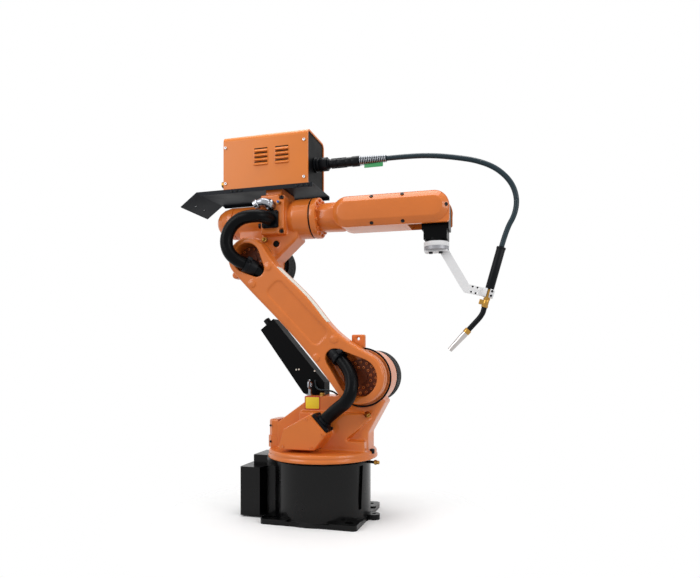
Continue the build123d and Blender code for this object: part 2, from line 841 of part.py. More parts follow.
# Elbow casting: hub on the arm, neck, web and rib, drive tube and connection block
web_right_x = elbow_x + web_reach
tube_bottom_z = forearm_axis_z - drive_tube_radius
with BuildPart() as elbow_casting:
    with BuildSketch(side_plane(elbow_hub_front)):
        with Locations((elbow_x, elbow_z)):
            Circle(elbow_hub_radius)
    extrude(amount=-(elbow_hub_front + elbow_hub_rear))
    with BuildSketch(cross_plane(rear_cylinder_end_x)):
        Circle(rear_cylinder_radius)
    extrude(amount=block_left_x - rear_cylinder_end_x)
    with BuildSketch(cross_plane(block_left_x)):
        Circle(drive_tube_neck_radius)
    extrude(amount=connection_block_length)
    with BuildSketch(cross_plane(block_right_x)):
        Circle(drive_tube_neck_radius)
    with BuildSketch(cross_plane(block_right_x + drive_tube_flare)):
        Circle(drive_tube_radius)
    loft()
    with BuildSketch(cross_plane(block_right_x + drive_tube_flare)):
        Circle(drive_tube_radius)
    extrude(amount=joint_x - seal_thickness - block_right_x - drive_tube_flare)
    with BuildSketch(Plane.XY.offset(block_bottom_z)):
        with Locations((block_mid_x, block_mid_y)):
            RectangleRounded(
                connection_block_length,
                connection_block_depth + connection_block_rear,
                connection_block_corner,
            )
    extrude(amount=block_top_z - block_bottom_z)
    with BuildSketch(side_plane(web_front)):
        with BuildLine():
            Polyline(
                (elbow_x, elbow_z + elbow_hub_radius / 2),
                (block_left_x, forearm_axis_z),
                (web_right_x, forearm_axis_z),
                (web_right_x, tube_bottom_z),
                (elbow_x + rib_foot[0], elbow_z),
                close=True,
            )
        make_face()
        with Locations((elbow_x + web_hole_ahead, forearm_axis_z - web_hole_drop)):
            Circle(web_hole_diameter / 2, mode=Mode.SUBTRACT)
    extrude(amount=-web_thickness)
    with BuildSketch(side_plane(rib_half_width)):
        with BuildLine():
            Polyline(
                (web_right_x, tube_bottom_z + rib_overlap),
                (web_right_x, tube_bottom_z - rib_overlap / 2),
                (elbow_x + rib_foot[0], elbow_z + rib_foot[1]),
                (elbow_x + rib_foot[0] - rib_thickness, elbow_z),
                (web_right_x - rib_thickness, tube_bottom_z + rib_overlap),
                close=True,
            )
        make_face()
    extrude(amount=-2 * rib_half_width)
    with BuildSketch(side_plane(elbow_hub_front - elbow_neck_margin)):
        with BuildLine():
            Polyline(
                (elbow_x - elbow_neck_half_width, elbow_z),
                (elbow_x - elbow_neck_half_width, forearm_axis_z),
                (block_left_x + elbow_neck_margin, forearm_axis_z),
                (elbow_x + elbow_neck_half_width, elbow_z),
                close=True,
            )
        make_face()
    extrude(amount=-(elbow_hub_front + elbow_hub_rear - 2 * elbow_neck_margin))
    with BuildSketch(Plane.XY.offset(block_top_z)):
        with Locations((block_mid_x, 0)):
            Rectangle(tray_post_width, 2 * connection_block_rear)
    extrude(amount=tray_top_z - tray_sheet - block_top_z)
    with BuildSketch(side_plane(connection_block_depth)):
        with Locations((block_right_x, block_top_z), (block_right_x, block_bottom_z)):
            Rectangle(2 * connection_notch, 2 * connection_notch)
    extrude(amount=-connection_notch_depth, mode=Mode.SUBTRACT)
save(elbow_casting, "elbow_casting")

with BuildPart() as forearm_seal:
    with BuildSketch(cross_plane(joint_x - seal_thickness)):
        Circle(drive_tube_radius - rear_cap_rim)
    extrude(amount=seal_thickness)
save(forearm_seal, "forearm_seal")

# Cap over the forearm motor, on the rear end of the round housing
with BuildPart() as axis4_motor_cover:
    with BuildSketch(cross_plane(rear_cylinder_end_x)):
        Circle(rear_cylinder_radius)
    with BuildSketch(cross_plane(rear_cylinder_end_x - rear_cap_length)):
        Circle(rear_cylinder_radius - rear_cap_taper)
    loft()
    fillet(axis4_motor_cover.edges().sort_by(Axis.X)[0], rear_cap_round)
    with BuildSketch(cross_plane(rear_cylinder_end_x - rear_cap_rim_length)):
        Circle(rear_cylinder_radius + rear_cap_rim)
    extrude(amount=rear_cap_rim_length)
save(axis4_motor_cover, "axis4_motor_cover")

# Conduit flange, angled connector and air fitting on the connection block
flange_x = block_left_x + conduit_flange_ahead
flange_z = block_bottom_z + conduit_flange_height
with BuildPart() as conduit_flange:
    with BuildSketch(side_plane(connection_block_depth)):
        with Locations((flange_x, flange_z)):
            RectangleRounded(conduit_flange_side, conduit_flange_side, conduit_flange_corner)
    extrude(amount=conduit_flange_thickness)
save(conduit_flange, "conduit_flange")

connector_x = block_left_x + connector_ahead
connector_z = block_top_z - connector_top_gap
with BuildPart() as angled_connector:
    with BuildSketch(side_plane(connection_block_depth)):
        with Locations((connector_x, connector_z)):
            Circle(connector_body_radius)
    extrude(amount=connector_body_length)
    elbow_y = -(connection_block_depth + connector_body_length - connector_arm_inset)
    with BuildSketch(Plane(origin=(connector_x, elbow_y, connector_z), x_dir=(0, 1, 0), z_dir=(-1, 0, 0))):
        Circle(connector_arm_radius)
    extrude(amount=connector_arm_length)
save(angled_connector, "angled_connector")

with BuildPart() as air_fitting:
    with BuildSketch(side_plane(connection_block_depth)):
        with Locations((block_left_x + air_fitting_ahead, block_top_z - air_fitting_top_gap)):
            RegularPolygon(air_fitting_radius, 6)
    extrude(amount=air_fitting_length)
save(air_fitting, "air_fitting")

# Feeder tray: folded sheet with a sloping tongue at its rear end
tray_left_x = elbow_x - tray_behind
tray_right_x = elbow_x + tray_ahead
slope = radians(tray_tongue_slope)
tongue_x = tray_left_x - tray_tongue_length * cos(slope)
tongue_z = tray_top_z - tray_tongue_length * sin(slope)
with BuildPart() as feeder_tray:
    with BuildSketch(side_plane(tray_front)):
        with BuildLine():
            Polyline(
                (tray_right_x, tray_top_z),
                (tray_left_x, tray_top_z),
                (tongue_x, tongue_z),
                (tongue_x + tray_sheet * sin(slope), tongue_z - tray_sheet * cos(slope)),
                (tray_left_x + tray_sheet * sin(slope), tray_top_z - tray_sheet),
                (tray_right_x, tray_top_z - tray_sheet),
                close=True,
            )
        make_face()
    extrude(amount=-(tray_front + tray_rear))
    for depth in (tray_front, -tray_rear + tray_sheet):
        with BuildSketch(side_plane(depth)):
            with BuildLine():
                Polyline(
                    (tray_right_x, tray_top_z),
                    (tray_left_x, tray_top_z),
                    (tray_left_x + tray_flange_bevel, tray_top_z - tray_flange),
                    (tray_right_x, tray_top_z - tray_flange),
                    close=True,
                )
            make_face()
        extrude(amount=-tray_sheet)
    tray_mid_y = (tray_rear - tray_front) / 2
    hole_x = tray_left_x - tray_hole_reach * cos(slope)
    tongue_plane = Plane(
        origin=(hole_x, tray_mid_y, tray_top_z - tray_hole_reach * sin(slope)),
        x_dir=(0, 1, 0),
        z_dir=(-sin(slope), 0, cos(slope)),
    )
    with BuildSketch(tongue_plane):
        with GridLocations(tray_hole_spacing, 0, 2, 1):
            Circle(tray_hole / 2)
    extrude(amount=2 * tray_sheet, both=True, mode=Mode.SUBTRACT)
save(feeder_tray, "feeder_tray")

# Wire feeder housing, with rows of air slots in its front
feeder_left_x = elbow_x - feeder_behind
feeder_right_x = elbow_x + feeder_ahead
feeder_mid_y = (feeder_rear - feeder_front) / 2
feeder_depth = feeder_front + feeder_rear
panel_depth = feeder_depth - 2 * feeder_cover_sheet
panel_height = feeder_height - 2 * feeder_cover_sheet


def feeder_plane(x):
    """Plane facing +X at the middle of the feeder's side profile."""
    return Plane(origin=(x, feeder_mid_y, tray_top_z + feeder_height / 2), x_dir=(0, 1, 0), z_dir=(1, 0, 0))


with BuildPart() as feeder_housing:
    with BuildSketch(feeder_plane(feeder_left_x)):
        Rectangle(feeder_depth, feeder_height)
    extrude(amount=feeder_right_x - feeder_left_x)
    fillet(feeder_housing.edges().filter_by(Axis.X).group_by(Axis.Z)[-1], feeder_edge_round)
    for x, way in ((feeder_left_x, 1), (feeder_right_x, -1)):
        with BuildSketch(feeder_plane(x)) as recess:
            Rectangle(panel_depth, panel_height)
            fillet(recess.vertices().group_by(Axis.Y)[-1], feeder_edge_round - feeder_cover_sheet)
        extrude(amount=way * feeder_end_recess, mode=Mode.SUBTRACT)
    with BuildSketch(side_plane(feeder_front)):
        with Locations((elbow_x + louvre_ahead, tray_top_z + louvre_rise)):
            with GridLocations(louvre_column_pitch, louvre_row_pitch, louvre_columns, louvre_rows):
                SlotOverall(louvre_length, louvre_height)
    extrude(amount=-louvre_depth, mode=Mode.SUBTRACT)
save(feeder_housing, "feeder_housing")


def feeder_end_panel(name, x, way):
    """Black end panel that sits in the recess at one end of the feeder."""
    with BuildPart() as panel:
        with BuildSketch(feeder_plane(x)) as outline:
            Rectangle(panel_depth, panel_height)
            fillet(outline.vertices().group_by(Axis.Y)[-1], feeder_edge_round - feeder_cover_sheet)
        extrude(amount=way * end_panel_thickness)
    save(panel, name)


feeder_end_panel("feeder_front_panel", feeder_right_x - feeder_end_recess, 1)
feeder_end_panel("feeder_rear_panel", feeder_left_x + feeder_end_recess, -1)

# Gas and wire inlets on the feeder's rear panel
inlet_x = feeder_left_x + feeder_end_recess - end_panel_thickness
with BuildPart() as feeder_inlets:
    with BuildSketch(Plane(origin=(inlet_x, feeder_mid_y, tray_top_z), x_dir=(0, -1, 0), z_dir=(-1, 0, 0))):
        with Locations(*inlet_places):
            Circle(inlet_radius)
    extrude(amount=inlet_length)
save(feeder_inlets, "feeder_inlets")

# Torch connector and its spring relief
panel_face_x = feeder_right_x - feeder_end_recess + end_panel_thickness
plug_start_x = panel_face_x + torch_socket_length
taper_start_x = plug_start_x + torch_plug_length
relief_start_x = taper_start_x + torch_plug_taper


def torch_line(x):
    """Plane facing +X on the line of the torch connector."""
    return Plane(origin=(x, torch_line_y, tray_top_z + torch_line_rise), x_dir=(0, 1, 0), z_dir=(1, 0, 0))


with BuildPart() as torch_connector:
    with BuildSketch(torch_line(panel_face_x)):
        Circle(torch_socket_radius)
    extrude(amount=torch_socket_length)
    with BuildSketch(torch_line(plug_start_x)):
        Circle(torch_plug_radius)
    extrude(amount=torch_plug_length)
    with BuildSketch(torch_line(taper_start_x)):
        Circle(torch_plug_radius)
    with BuildSketch(torch_line(relief_start_x)):
        Circle(relief_radius + relief_end_wall)
    loft()
save(torch_connector, "torch_connector")

with BuildPart() as torch_strain_relief:
    with BuildSketch(torch_line(relief_start_x)):
        Circle(relief_radius)
    with BuildSketch(torch_line(relief_start_x + relief_length)):
        Circle(torch_cable_diameter / 2 + relief_end_wall)
    loft()
save(torch_strain_relief, "torch_strain_relief")

# Forearm casting: drive flange, ribbed neck, body and the fork that holds the wrist
flange_end_x = joint_x + forearm_flange_length
body_start_x = flange_end_x + forearm_neck_length
body_full_x = body_start_x + forearm_taper_length
cheek_x = wrist_x - forearm_cheek_behind
with BuildPart() as forearm_casting:
    with BuildSketch(cross_plane(joint_x + running_gap)):
        Circle(forearm_flange_radius)
    extrude(amount=forearm_flange_length - running_gap)
    with BuildSketch(cross_plane(flange_end_x)):
        Circle(forearm_neck_radius)
    extrude(amount=forearm_neck_length)
    with BuildSketch(cross_plane(flange_end_x)):
        rib_centre = forearm_neck_radius + (forearm_rib_height - forearm_rib_thickness) / 2
        with PolarLocations(rib_centre, forearm_rib_count):
            Rectangle(forearm_rib_height + forearm_rib_thickness, forearm_rib_thickness)
    extrude(amount=forearm_rib_length)
    with BuildSketch(cross_plane(body_start_x)):
        RectangleRounded(
            2 * (forearm_half_width - forearm_taper_inset),
            2 * (forearm_half_height - forearm_taper_inset),
            forearm_taper_round,
        )
    with BuildSketch(cross_plane(body_full_x)):
        RectangleRounded(2 * forearm_half_width, 2 * forearm_half_height, forearm_edge_round)
    loft()
    with BuildSketch(cross_plane(body_full_x)):
        RectangleRounded(2 * forearm_half_width, 2 * forearm_half_height, forearm_edge_round)
    extrude(amount=cheek_x - body_full_x)
    with BuildSketch(side_plane(forearm_half_width)):
        with Locations((wrist_x, forearm_axis_z)):
            Circle(forearm_end_radius)
        with Locations((wrist_x, forearm_axis_z)):
            Rectangle(
                forearm_cheek_behind + forearm_cheek_overlap,
                2 * forearm_end_radius,
                align=(Align.MAX, Align.CENTER),
            )
    extrude(amount=-2 * forearm_half_width)
    with BuildSketch(side_plane(fork_slot_half_width)):
        with BuildLine():
            Polyline(
                (wrist_x - fork_slot_top_behind, forearm_axis_z + 2 * forearm_half_height),
                (wrist_x - fork_slot_top_behind, forearm_axis_z - fork_slot_top_drop),
                (wrist_x - fork_slot_bottom_behind, forearm_axis_z - 2 * forearm_half_height),
                (wrist_x + 2 * forearm_end_radius, forearm_axis_z - 2 * forearm_half_height),
                (wrist_x + 2 * forearm_end_radius, forearm_axis_z + 2 * forearm_half_height),
                close=True,
            )
        make_face()
    extrude(amount=-2 * fork_slot_half_width, mode=Mode.SUBTRACT)
save(forearm_casting, "forearm_casting")

# Bevelled stadium cover on the forearm's open side
with BuildPart() as forearm_cover:
    with BuildSketch(side_plane(forearm_half_width)):
        with Locations((wrist_x + (forearm_cover_ahead - forearm_cover_behind) / 2, forearm_axis_z)):
            SlotOverall(forearm_cover_behind + forearm_cover_ahead, 2 * forearm_cover_half_height)
    extrude(amount=forearm_cover_thickness)
    chamfer(forearm_cover.faces().sort_by(Axis.Y)[0].edges(), forearm_cover_bevel)
save(forearm_cover, "forearm_cover")

# Round cap over the wrist bearing on the far side
with BuildPart() as wrist_side_cover:
    with BuildSketch(side_plane(-forearm_half_width)):
        with Locations((wrist_x, forearm_axis_z)):
            Circle(wrist_cap_radius)
    extrude(amount=-wrist_cap_height)
    chamfer(wrist_side_cover.faces().sort_by(Axis.Y)[-1].edges(), wrist_cap_bevel)
save(wrist_side_cover, "wrist_side_cover")

# Wrist block between the cheeks of the fork
with BuildPart() as wrist_block:
    with BuildSketch(side_plane(wrist_half_width)):
        with Locations((wrist_x, forearm_axis_z)):
            Circle(wrist_hub_radius)
        with Locations((wrist_x, forearm_axis_z)):
            Rectangle(2 * wrist_hub_radius, wrist_collar_drop, align=(Align.CENTER, Align.MAX))
        with Locations((wrist_x, forearm_axis_z)):
            Rectangle(
                2 * (wrist_hub_radius - wrist_collar_step),
                wrist_flange_drop - wrist_flange_height,
                align=(Align.CENTER, Align.MAX),
            )
    extrude(amount=-2 * wrist_half_width)
    with BuildSketch(Plane.XY.offset(forearm_axis_z - wrist_flange_drop)):
        with Locations((wrist_x, 0)):
            Circle(wrist_flange_radius)
    extrude(amount=2 * wrist_flange_height)
save(wrist_block, "wrist_block")

# Bearing stubs between the wrist block and the cheeks
stub_length = fork_slot_half_width - running_gap - wrist_half_width
with BuildPart() as wrist_bearings:
    for depth in (fork_slot_half_width - running_gap, -wrist_half_width):
        with BuildSketch(side_plane(depth)):
            with Locations((wrist_x, forearm_axis_z)):
                Circle(wrist_pin_radius)
        extrude(amount=-stub_length)
save(wrist_bearings, "wrist_bearings")

# Insulated torch mount on the tool flange, with its screw heads under the bracket's foot
mount_top_z = forearm_axis_z - wrist_flange_drop - running_gap
mount_bottom_z = forearm_axis_z - mount_block_drop
foot_bottom_z = mount_bottom_z - bracket_foot_sheet
with BuildPart() as torch_mount:
    with BuildSketch(Plane.XY.offset(mount_bottom_z)):
        with Locations((wrist_x, 0)):
            Circle(mount_block_radius)
    extrude(amount=mount_top_z - mount_bottom_z)
save(torch_mount, "torch_mount")

with BuildPart() as mount_knobs:
    with BuildSketch(Plane.XY.offset(foot_bottom_z)):
        for place in mount_screw_places:
            with Locations((wrist_x + place, mount_screw_y)):
                Circle(mount_screw_radius)
    extrude(amount=-mount_screw_height)
save(mount_knobs, "mount_knobs")

# Torch line in the plane of the arm: handle, body, bent neck and nozzle
handle_start = wrist_point(handle_top)
handle_stop = wrist_point(handle_bottom)
handle_direction = (handle_stop - handle_start).normalized()
handle_length = (handle_stop - handle_start).length
handle_plane = Plane(origin=handle_start, x_dir=(0, 1, 0), z_dir=handle_direction)
with BuildPart() as torch_handle:
    with BuildSketch(handle_plane):
        Circle(torch_cable_diameter / 2 + handle_end_wall)
    with BuildSketch(handle_plane.offset(handle_taper)):
        Circle(handle_radius)
    loft()
    with BuildSketch(handle_plane.offset(handle_taper)):
        Circle(handle_radius)
    extrude(amount=handle_length - handle_taper)
save(torch_handle, "torch_handle")

clamp_plane = handle_plane.offset(handle_length)
with BuildPart() as torch_clamp:
    with BuildSketch(clamp_plane):
        Rectangle(2 * clamp_half_depth, 2 * clamp_half_width)
        Circle(torch_body_radius, mode=Mode.SUBTRACT)
    extrude(amount=clamp_length)
save(torch_clamp, "torch_clamp")

# White bracket: foot under the mount and a flat plate down to the torch clamp
clamp_back = clamp_plane.offset(clamp_length / 2).origin
across = Vector(handle_direction.Z, 0, -handle_direction.X)
plate_low = clamp_back + across * clamp_half_width + handle_direction * (clamp_length / 2)
plate_high = clamp_back + across * clamp_half_width - handle_direction * (clamp_length / 2)
plate_root = mount_bottom_z - bracket_foot_sheet / 2
outer_corner = wrist_point(bracket_outer_corner)
inner_corner = wrist_point(bracket_inner_corner)
inner_bend = wrist_point(bracket_inner_bend)
hole_centre = clamp_back + across * bracket_hole_reach
with BuildPart() as torch_bracket:
    with BuildSketch(Plane.XY.offset(foot_bottom_z)):
        with Locations((wrist_x, 0)):
            RectangleRounded(2 * bracket_foot_half_length, 2 * bracket_foot_half_width, bracket_foot_sheet)
    extrude(amount=bracket_foot_sheet)
    with BuildSketch(side_plane(bracket_thickness / 2)):
        with BuildLine():
            Polyline(
                (wrist_x + bracket_root[0], plate_root),
                (wrist_x + bracket_root[1], plate_root),
                (outer_corner.X, outer_corner.Z),
                (plate_high.X, plate_high.Z),
                (plate_low.X, plate_low.Z),
                (inner_bend.X, inner_bend.Z),
                (inner_corner.X, inner_corner.Z),
                close=True,
            )
        make_face()
    extrude(amount=-bracket_thickness)
    hole_plane = Plane(origin=hole_centre + Vector(0, -bracket_thickness, 0), x_dir=across, z_dir=(0, -1, 0))
    with BuildSketch(hole_plane):
        with GridLocations(*bracket_hole_pitch, 2, 2):
            Circle(bracket_hole_radius)
    extrude(amount=-2 * bracket_thickness, mode=Mode.SUBTRACT)
save(torch_bracket, "torch_bracket")

# Torch body through the clamp, with its side lug, and the bent neck after it
body_end = handle_stop + handle_direction * torch_body_length
neck_corner = body_end + handle_direction * neck_run
neck_stop = wrist_point(neck_end)
lug_centre = body_end + across * (torch_body_radius + torch_lug_reach / 2) - handle_direction * torch_lug_side
with BuildPart() as torch_neck:
    with BuildSketch(clamp_plane):
        Circle(torch_body_radius)
    extrude(amount=torch_body_length)
    with BuildSketch(Plane(origin=lug_centre, x_dir=across, z_dir=handle_direction)):
        Rectangle(torch_body_radius + torch_lug_reach, torch_lug_side)
    extrude(amount=torch_lug_side)
    with BuildLine():
        neck_line = FilletPolyline(body_end, neck_corner, neck_stop, radius=neck_bend)
    with BuildSketch(Plane(origin=neck_line @ 0, z_dir=neck_line % 0)):
        Circle(neck_radius)
    sweep()
save(torch_neck, "torch_neck")

nozzle_plane = Plane(origin=neck_stop, x_dir=(0, 1, 0), z_dir=neck_line % 1)
nozzle_end = nozzle_plane.offset(nozzle_collar_length + nozzle_length)
with BuildPart() as torch_nozzle:
    with BuildSketch(nozzle_plane):
        Circle(nozzle_collar_radius)
    extrude(amount=nozzle_collar_length)
    with BuildSketch(nozzle_plane.offset(nozzle_collar_length)):
        Circle(nozzle_radius)
    with BuildSketch(nozzle_end):
        Circle(nozzle_tip_radius)
    loft()
    with BuildSketch(nozzle_end):
        Circle(nozzle_tip_radius - nozzle_wall)
    extrude(amount=-nozzle_bore_depth, mode=Mode.SUBTRACT)
save(torch_nozzle, "torch_nozzle")


def corner_radii(points):
    """Largest even arc for each corner of a route: 0.45 of the shorter run over tan(half turn)."""
    radii = []
    for before, here, after in zip(points, points[1:], points[2:]):
        run_in = Vector(*here) - Vector(*before)
        run_out = Vector(*after) - Vector(*here)
        half_turn = radians(run_in.get_angle(run_out)) / 2
        radii.append(0.45 * min(run_in.length, run_out.length) / tan(half_turn))
    return radii


def hose(name, points, diameter):
    """Round hose along straight runs joined by tangent arcs."""
    radii = corner_radii(points)
    print(name, "radii", [round(r) for r in radii])
    with BuildPart() as tube:
        with BuildLine():
            route = FilletPolyline(*points, radius=radii)
        with BuildSketch(Plane(origin=route @ 0, z_dir=route % 0)):
            Circle(diameter / 2)
        sweep()
    section = pi * diameter**2 / 4
    ratio = tube.part.volume / (section * route.length)
    print(name, "length", round(route.length), "volume ratio", round(ratio, 4))
    save(tube, name)


gland_out = gland_plane.offset(gland_plate + gland_collar).origin
gland_ahead = gland_plane.offset(gland_plate + gland_collar + gland_run).origin
lower_conduit_route = [
    (gland_out.X, gland_out.Y, gland_out.Z),
    (gland_ahead.X, gland_ahead.Y, gland_ahead.Z),
    (97, -129, 386),
    (126, -144, 404),
    (146, -149, 438),
    (144, -132, 478),
    (124, -112, 514),
    (95, -98, 542),
    (66, -89, 570),
]
hose("lower_conduit", lower_conduit_route, conduit_diameter)

conduit_start_y = -(connection_block_depth + conduit_flange_thickness)
upper_conduit_route = [
    (flange_x, conduit_start_y, flange_z),
    (flange_x, conduit_start_y - conduit_run, flange_z),
    (-202, -156, 1027),
    (-248, -156, 1022),
    (-290, -154, 992),
    (-308, -152, 948),
    (-298, -150, 906),
    (-270, -142, 880),
    (-236, -117, 866),
    (-202, -92, 848),
    (-166, -89, 816),
]
hose("upper_conduit", upper_conduit_route, conduit_diameter)

cable_entry = handle_start - handle_direction * torch_cable_run
torch_cable_route = [
    (relief_start_x + relief_length, torch_line_y, tray_top_z + torch_line_rise),
    (310, 8, 1226),
    (390, 4, 1218),
    (462, 2, 1204),
    (528, 0, 1187),
    (588, 0, 1158),
    (634, 0, 1110),
    (652, 0, 1056),
    (645, 0, 1004),
    (cable_entry.X, 0, cable_entry.Z),
    (handle_start.X, 0, handle_start.Z),
]
hose("torch_cable", torch_cable_route, torch_cable_diameter)
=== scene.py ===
"""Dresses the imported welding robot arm: finishes, hoses, cable, small parts, light and camera."""
import json
import logging
import math
from dataclasses import dataclass, field
from enum import Enum
from typing import Callable, Sequence

import bpy
from mathutils import Matrix, Vector

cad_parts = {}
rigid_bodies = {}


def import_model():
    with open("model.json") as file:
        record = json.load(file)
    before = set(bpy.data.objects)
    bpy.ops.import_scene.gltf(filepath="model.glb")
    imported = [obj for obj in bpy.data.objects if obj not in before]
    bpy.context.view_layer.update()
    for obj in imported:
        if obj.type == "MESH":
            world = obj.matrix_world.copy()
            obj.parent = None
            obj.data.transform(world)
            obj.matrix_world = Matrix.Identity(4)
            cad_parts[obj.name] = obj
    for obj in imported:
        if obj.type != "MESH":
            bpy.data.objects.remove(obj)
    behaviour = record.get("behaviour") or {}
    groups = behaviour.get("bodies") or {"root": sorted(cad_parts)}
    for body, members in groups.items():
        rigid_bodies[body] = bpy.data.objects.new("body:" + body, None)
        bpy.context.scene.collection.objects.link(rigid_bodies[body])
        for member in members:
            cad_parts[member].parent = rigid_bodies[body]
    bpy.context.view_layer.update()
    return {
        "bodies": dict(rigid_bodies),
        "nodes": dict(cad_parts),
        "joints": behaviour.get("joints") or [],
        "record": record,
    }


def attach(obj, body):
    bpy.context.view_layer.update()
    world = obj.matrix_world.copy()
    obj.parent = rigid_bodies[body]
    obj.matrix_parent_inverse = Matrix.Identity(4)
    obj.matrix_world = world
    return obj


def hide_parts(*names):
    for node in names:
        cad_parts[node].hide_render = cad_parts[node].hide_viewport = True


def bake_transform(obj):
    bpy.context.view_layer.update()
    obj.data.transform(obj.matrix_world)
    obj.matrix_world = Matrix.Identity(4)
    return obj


log = logging.getLogger("robot_arm")

Point = tuple[float, float, float]

ARM_LEAN = math.radians(44.1)
SHOULDER = Vector((0.157, 0.0, 0.483))
# Flange discs at the floor of the shoulder and elbow pockets; they get a darker orange as painted shade of the
# pockets.
PAINTED_SHADE_FLANGES = ("shoulder_flange", "elbow_flange")
FRONT = (0.0, -1.0, 0.0)
REAR = (-1.0, 0.0, 0.0)
AHEAD = (1.0, 0.0, 0.0)
UP = (0.0, 0.0, 1.0)


class Grain(Enum):
    """The fine surface pattern of a finish."""

    PEEL = "peel"
    CAST = "cast"
    MOULDED = "moulded"
    BRUSHED = "brushed"


def fill(tree: bpy.types.NodeTree, node: bpy.types.Node, inputs: dict[str | int, object]) -> None:
    """Set a node's inputs, each to a value or to the socket that feeds it.

    Args:
        tree: The node tree.
        node: The node.
        inputs: Value or output socket for each input.
    """
    for key, value in inputs.items():
        if isinstance(value, bpy.types.NodeSocket):
            tree.links.new(value, node.inputs[key])
        else:
            node.inputs[key].default_value = value


def add_node(tree: bpy.types.NodeTree, kind: str, inputs: dict[str | int, object],
             **settings: object) -> bpy.types.Node:
    """Add a node with its inputs and settings.

    Args:
        tree: The node tree.
        kind: Blender's node type.
        inputs: Value or output socket for each input.
        **settings: The node's own settings.

    Returns:
        The new node.
    """
    node = tree.nodes.new(kind)
    for key, value in settings.items():
        setattr(node, key, value)
    fill(tree, node, inputs)
    return node


@dataclass(frozen=True)
class Finish:
    """One procedural material, written as its colour, its gloss and its grain."""

    name: str
    colour: Point
    roughness: float
    metallic: float = 0.0
    coat: float = 0.0
    coat_roughness: float = 0.05
    specular: float = 0.5
    grain: Grain = Grain.MOULDED
    grain_size: float = 0.002
    grain_depth: float = 0.0001
    variation: float = 0.06
    like: str = ""
    cloud_scale: float = 9.0
    cloud_span: tuple[float, float] = (0.3, 0.7)
    gloss_swing: float = 2.5
    brush_stretch: Point = (1.0, 1.0, 14.0)

    def linear(self, factor: float) -> tuple[float, float, float, float]:
        """Colour for a shader socket.

        Args:
            factor: Multiplies the linear colour.

        Returns:
            Red, green, blue and alpha in linear light.
        """
        channels = [c / 12.92 if c <= 0.04045 else ((c + 0.055) / 1.055) ** 2.4 for c in self.colour]
        return (*(min(1.0, c * factor) for c in channels), 1.0)

    def build(self) -> bpy.types.Material:
        """Make the material with its nodes.

        Returns:
            The material, ready to be given to pieces.
        """
        material = bpy.data.materials.new(self.name)
        material.use_nodes = True
        tree = material.node_tree
        place = add_node(tree, "ShaderNodeTexCoord", {}).outputs["Object"]
        noise = add_node(tree, "ShaderNodeTexNoise", {"Scale": self.cloud_scale, "Detail": 5.0, "Vector": place})
        cloud = noise.outputs["Fac"]
        tint = add_node(tree, "ShaderNodeValToRGB", {"Fac": cloud})
        for stop, position, swing in zip(tint.color_ramp.elements, self.cloud_span, (-1.0, 1.0)):
            stop.position = position
            stop.color = self.linear(1.0 + swing * self.variation)
        swing = self.gloss_swing * self.variation
        sheen = add_node(tree, "ShaderNodeMapRange", {
            "From Min": self.cloud_span[0], "From Max": self.cloud_span[1], "Value": cloud,
            "To Min": max(0.02, self.roughness * (1.0 - swing)), "To Max": min(1.0, self.roughness * (1.0 + swing))})
        drawn = self.brush_stretch if self.grain is Grain.BRUSHED else (1.0, 1.0, 1.0)
        stretch = add_node(tree, "ShaderNodeMapping", {"Scale": drawn, "Vector": place})
        grain = add_node(tree, "ShaderNodeTexNoise", {
            "Scale": 1.0 / self.grain_size, "Detail": 0.0 if self.grain is Grain.PEEL else 3.0,
            "Roughness": 0.7 if self.grain is Grain.CAST else 0.5, "Vector": stretch.outputs["Vector"]})
        bump = add_node(tree, "ShaderNodeBump", {
            "Strength": 1.0, "Distance": self.grain_depth, "Height": grain.outputs["Fac"]})
        fill(tree, tree.nodes["Principled BSDF"], {
            "Metallic": self.metallic, "Coat Weight": self.coat, "Coat Roughness": self.coat_roughness,
            "Specular IOR Level": self.specular, "Base Color": tint.outputs["Color"],
            "Roughness": sheen.outputs["Result"], "Normal": bump.outputs["Normal"]})
        return material


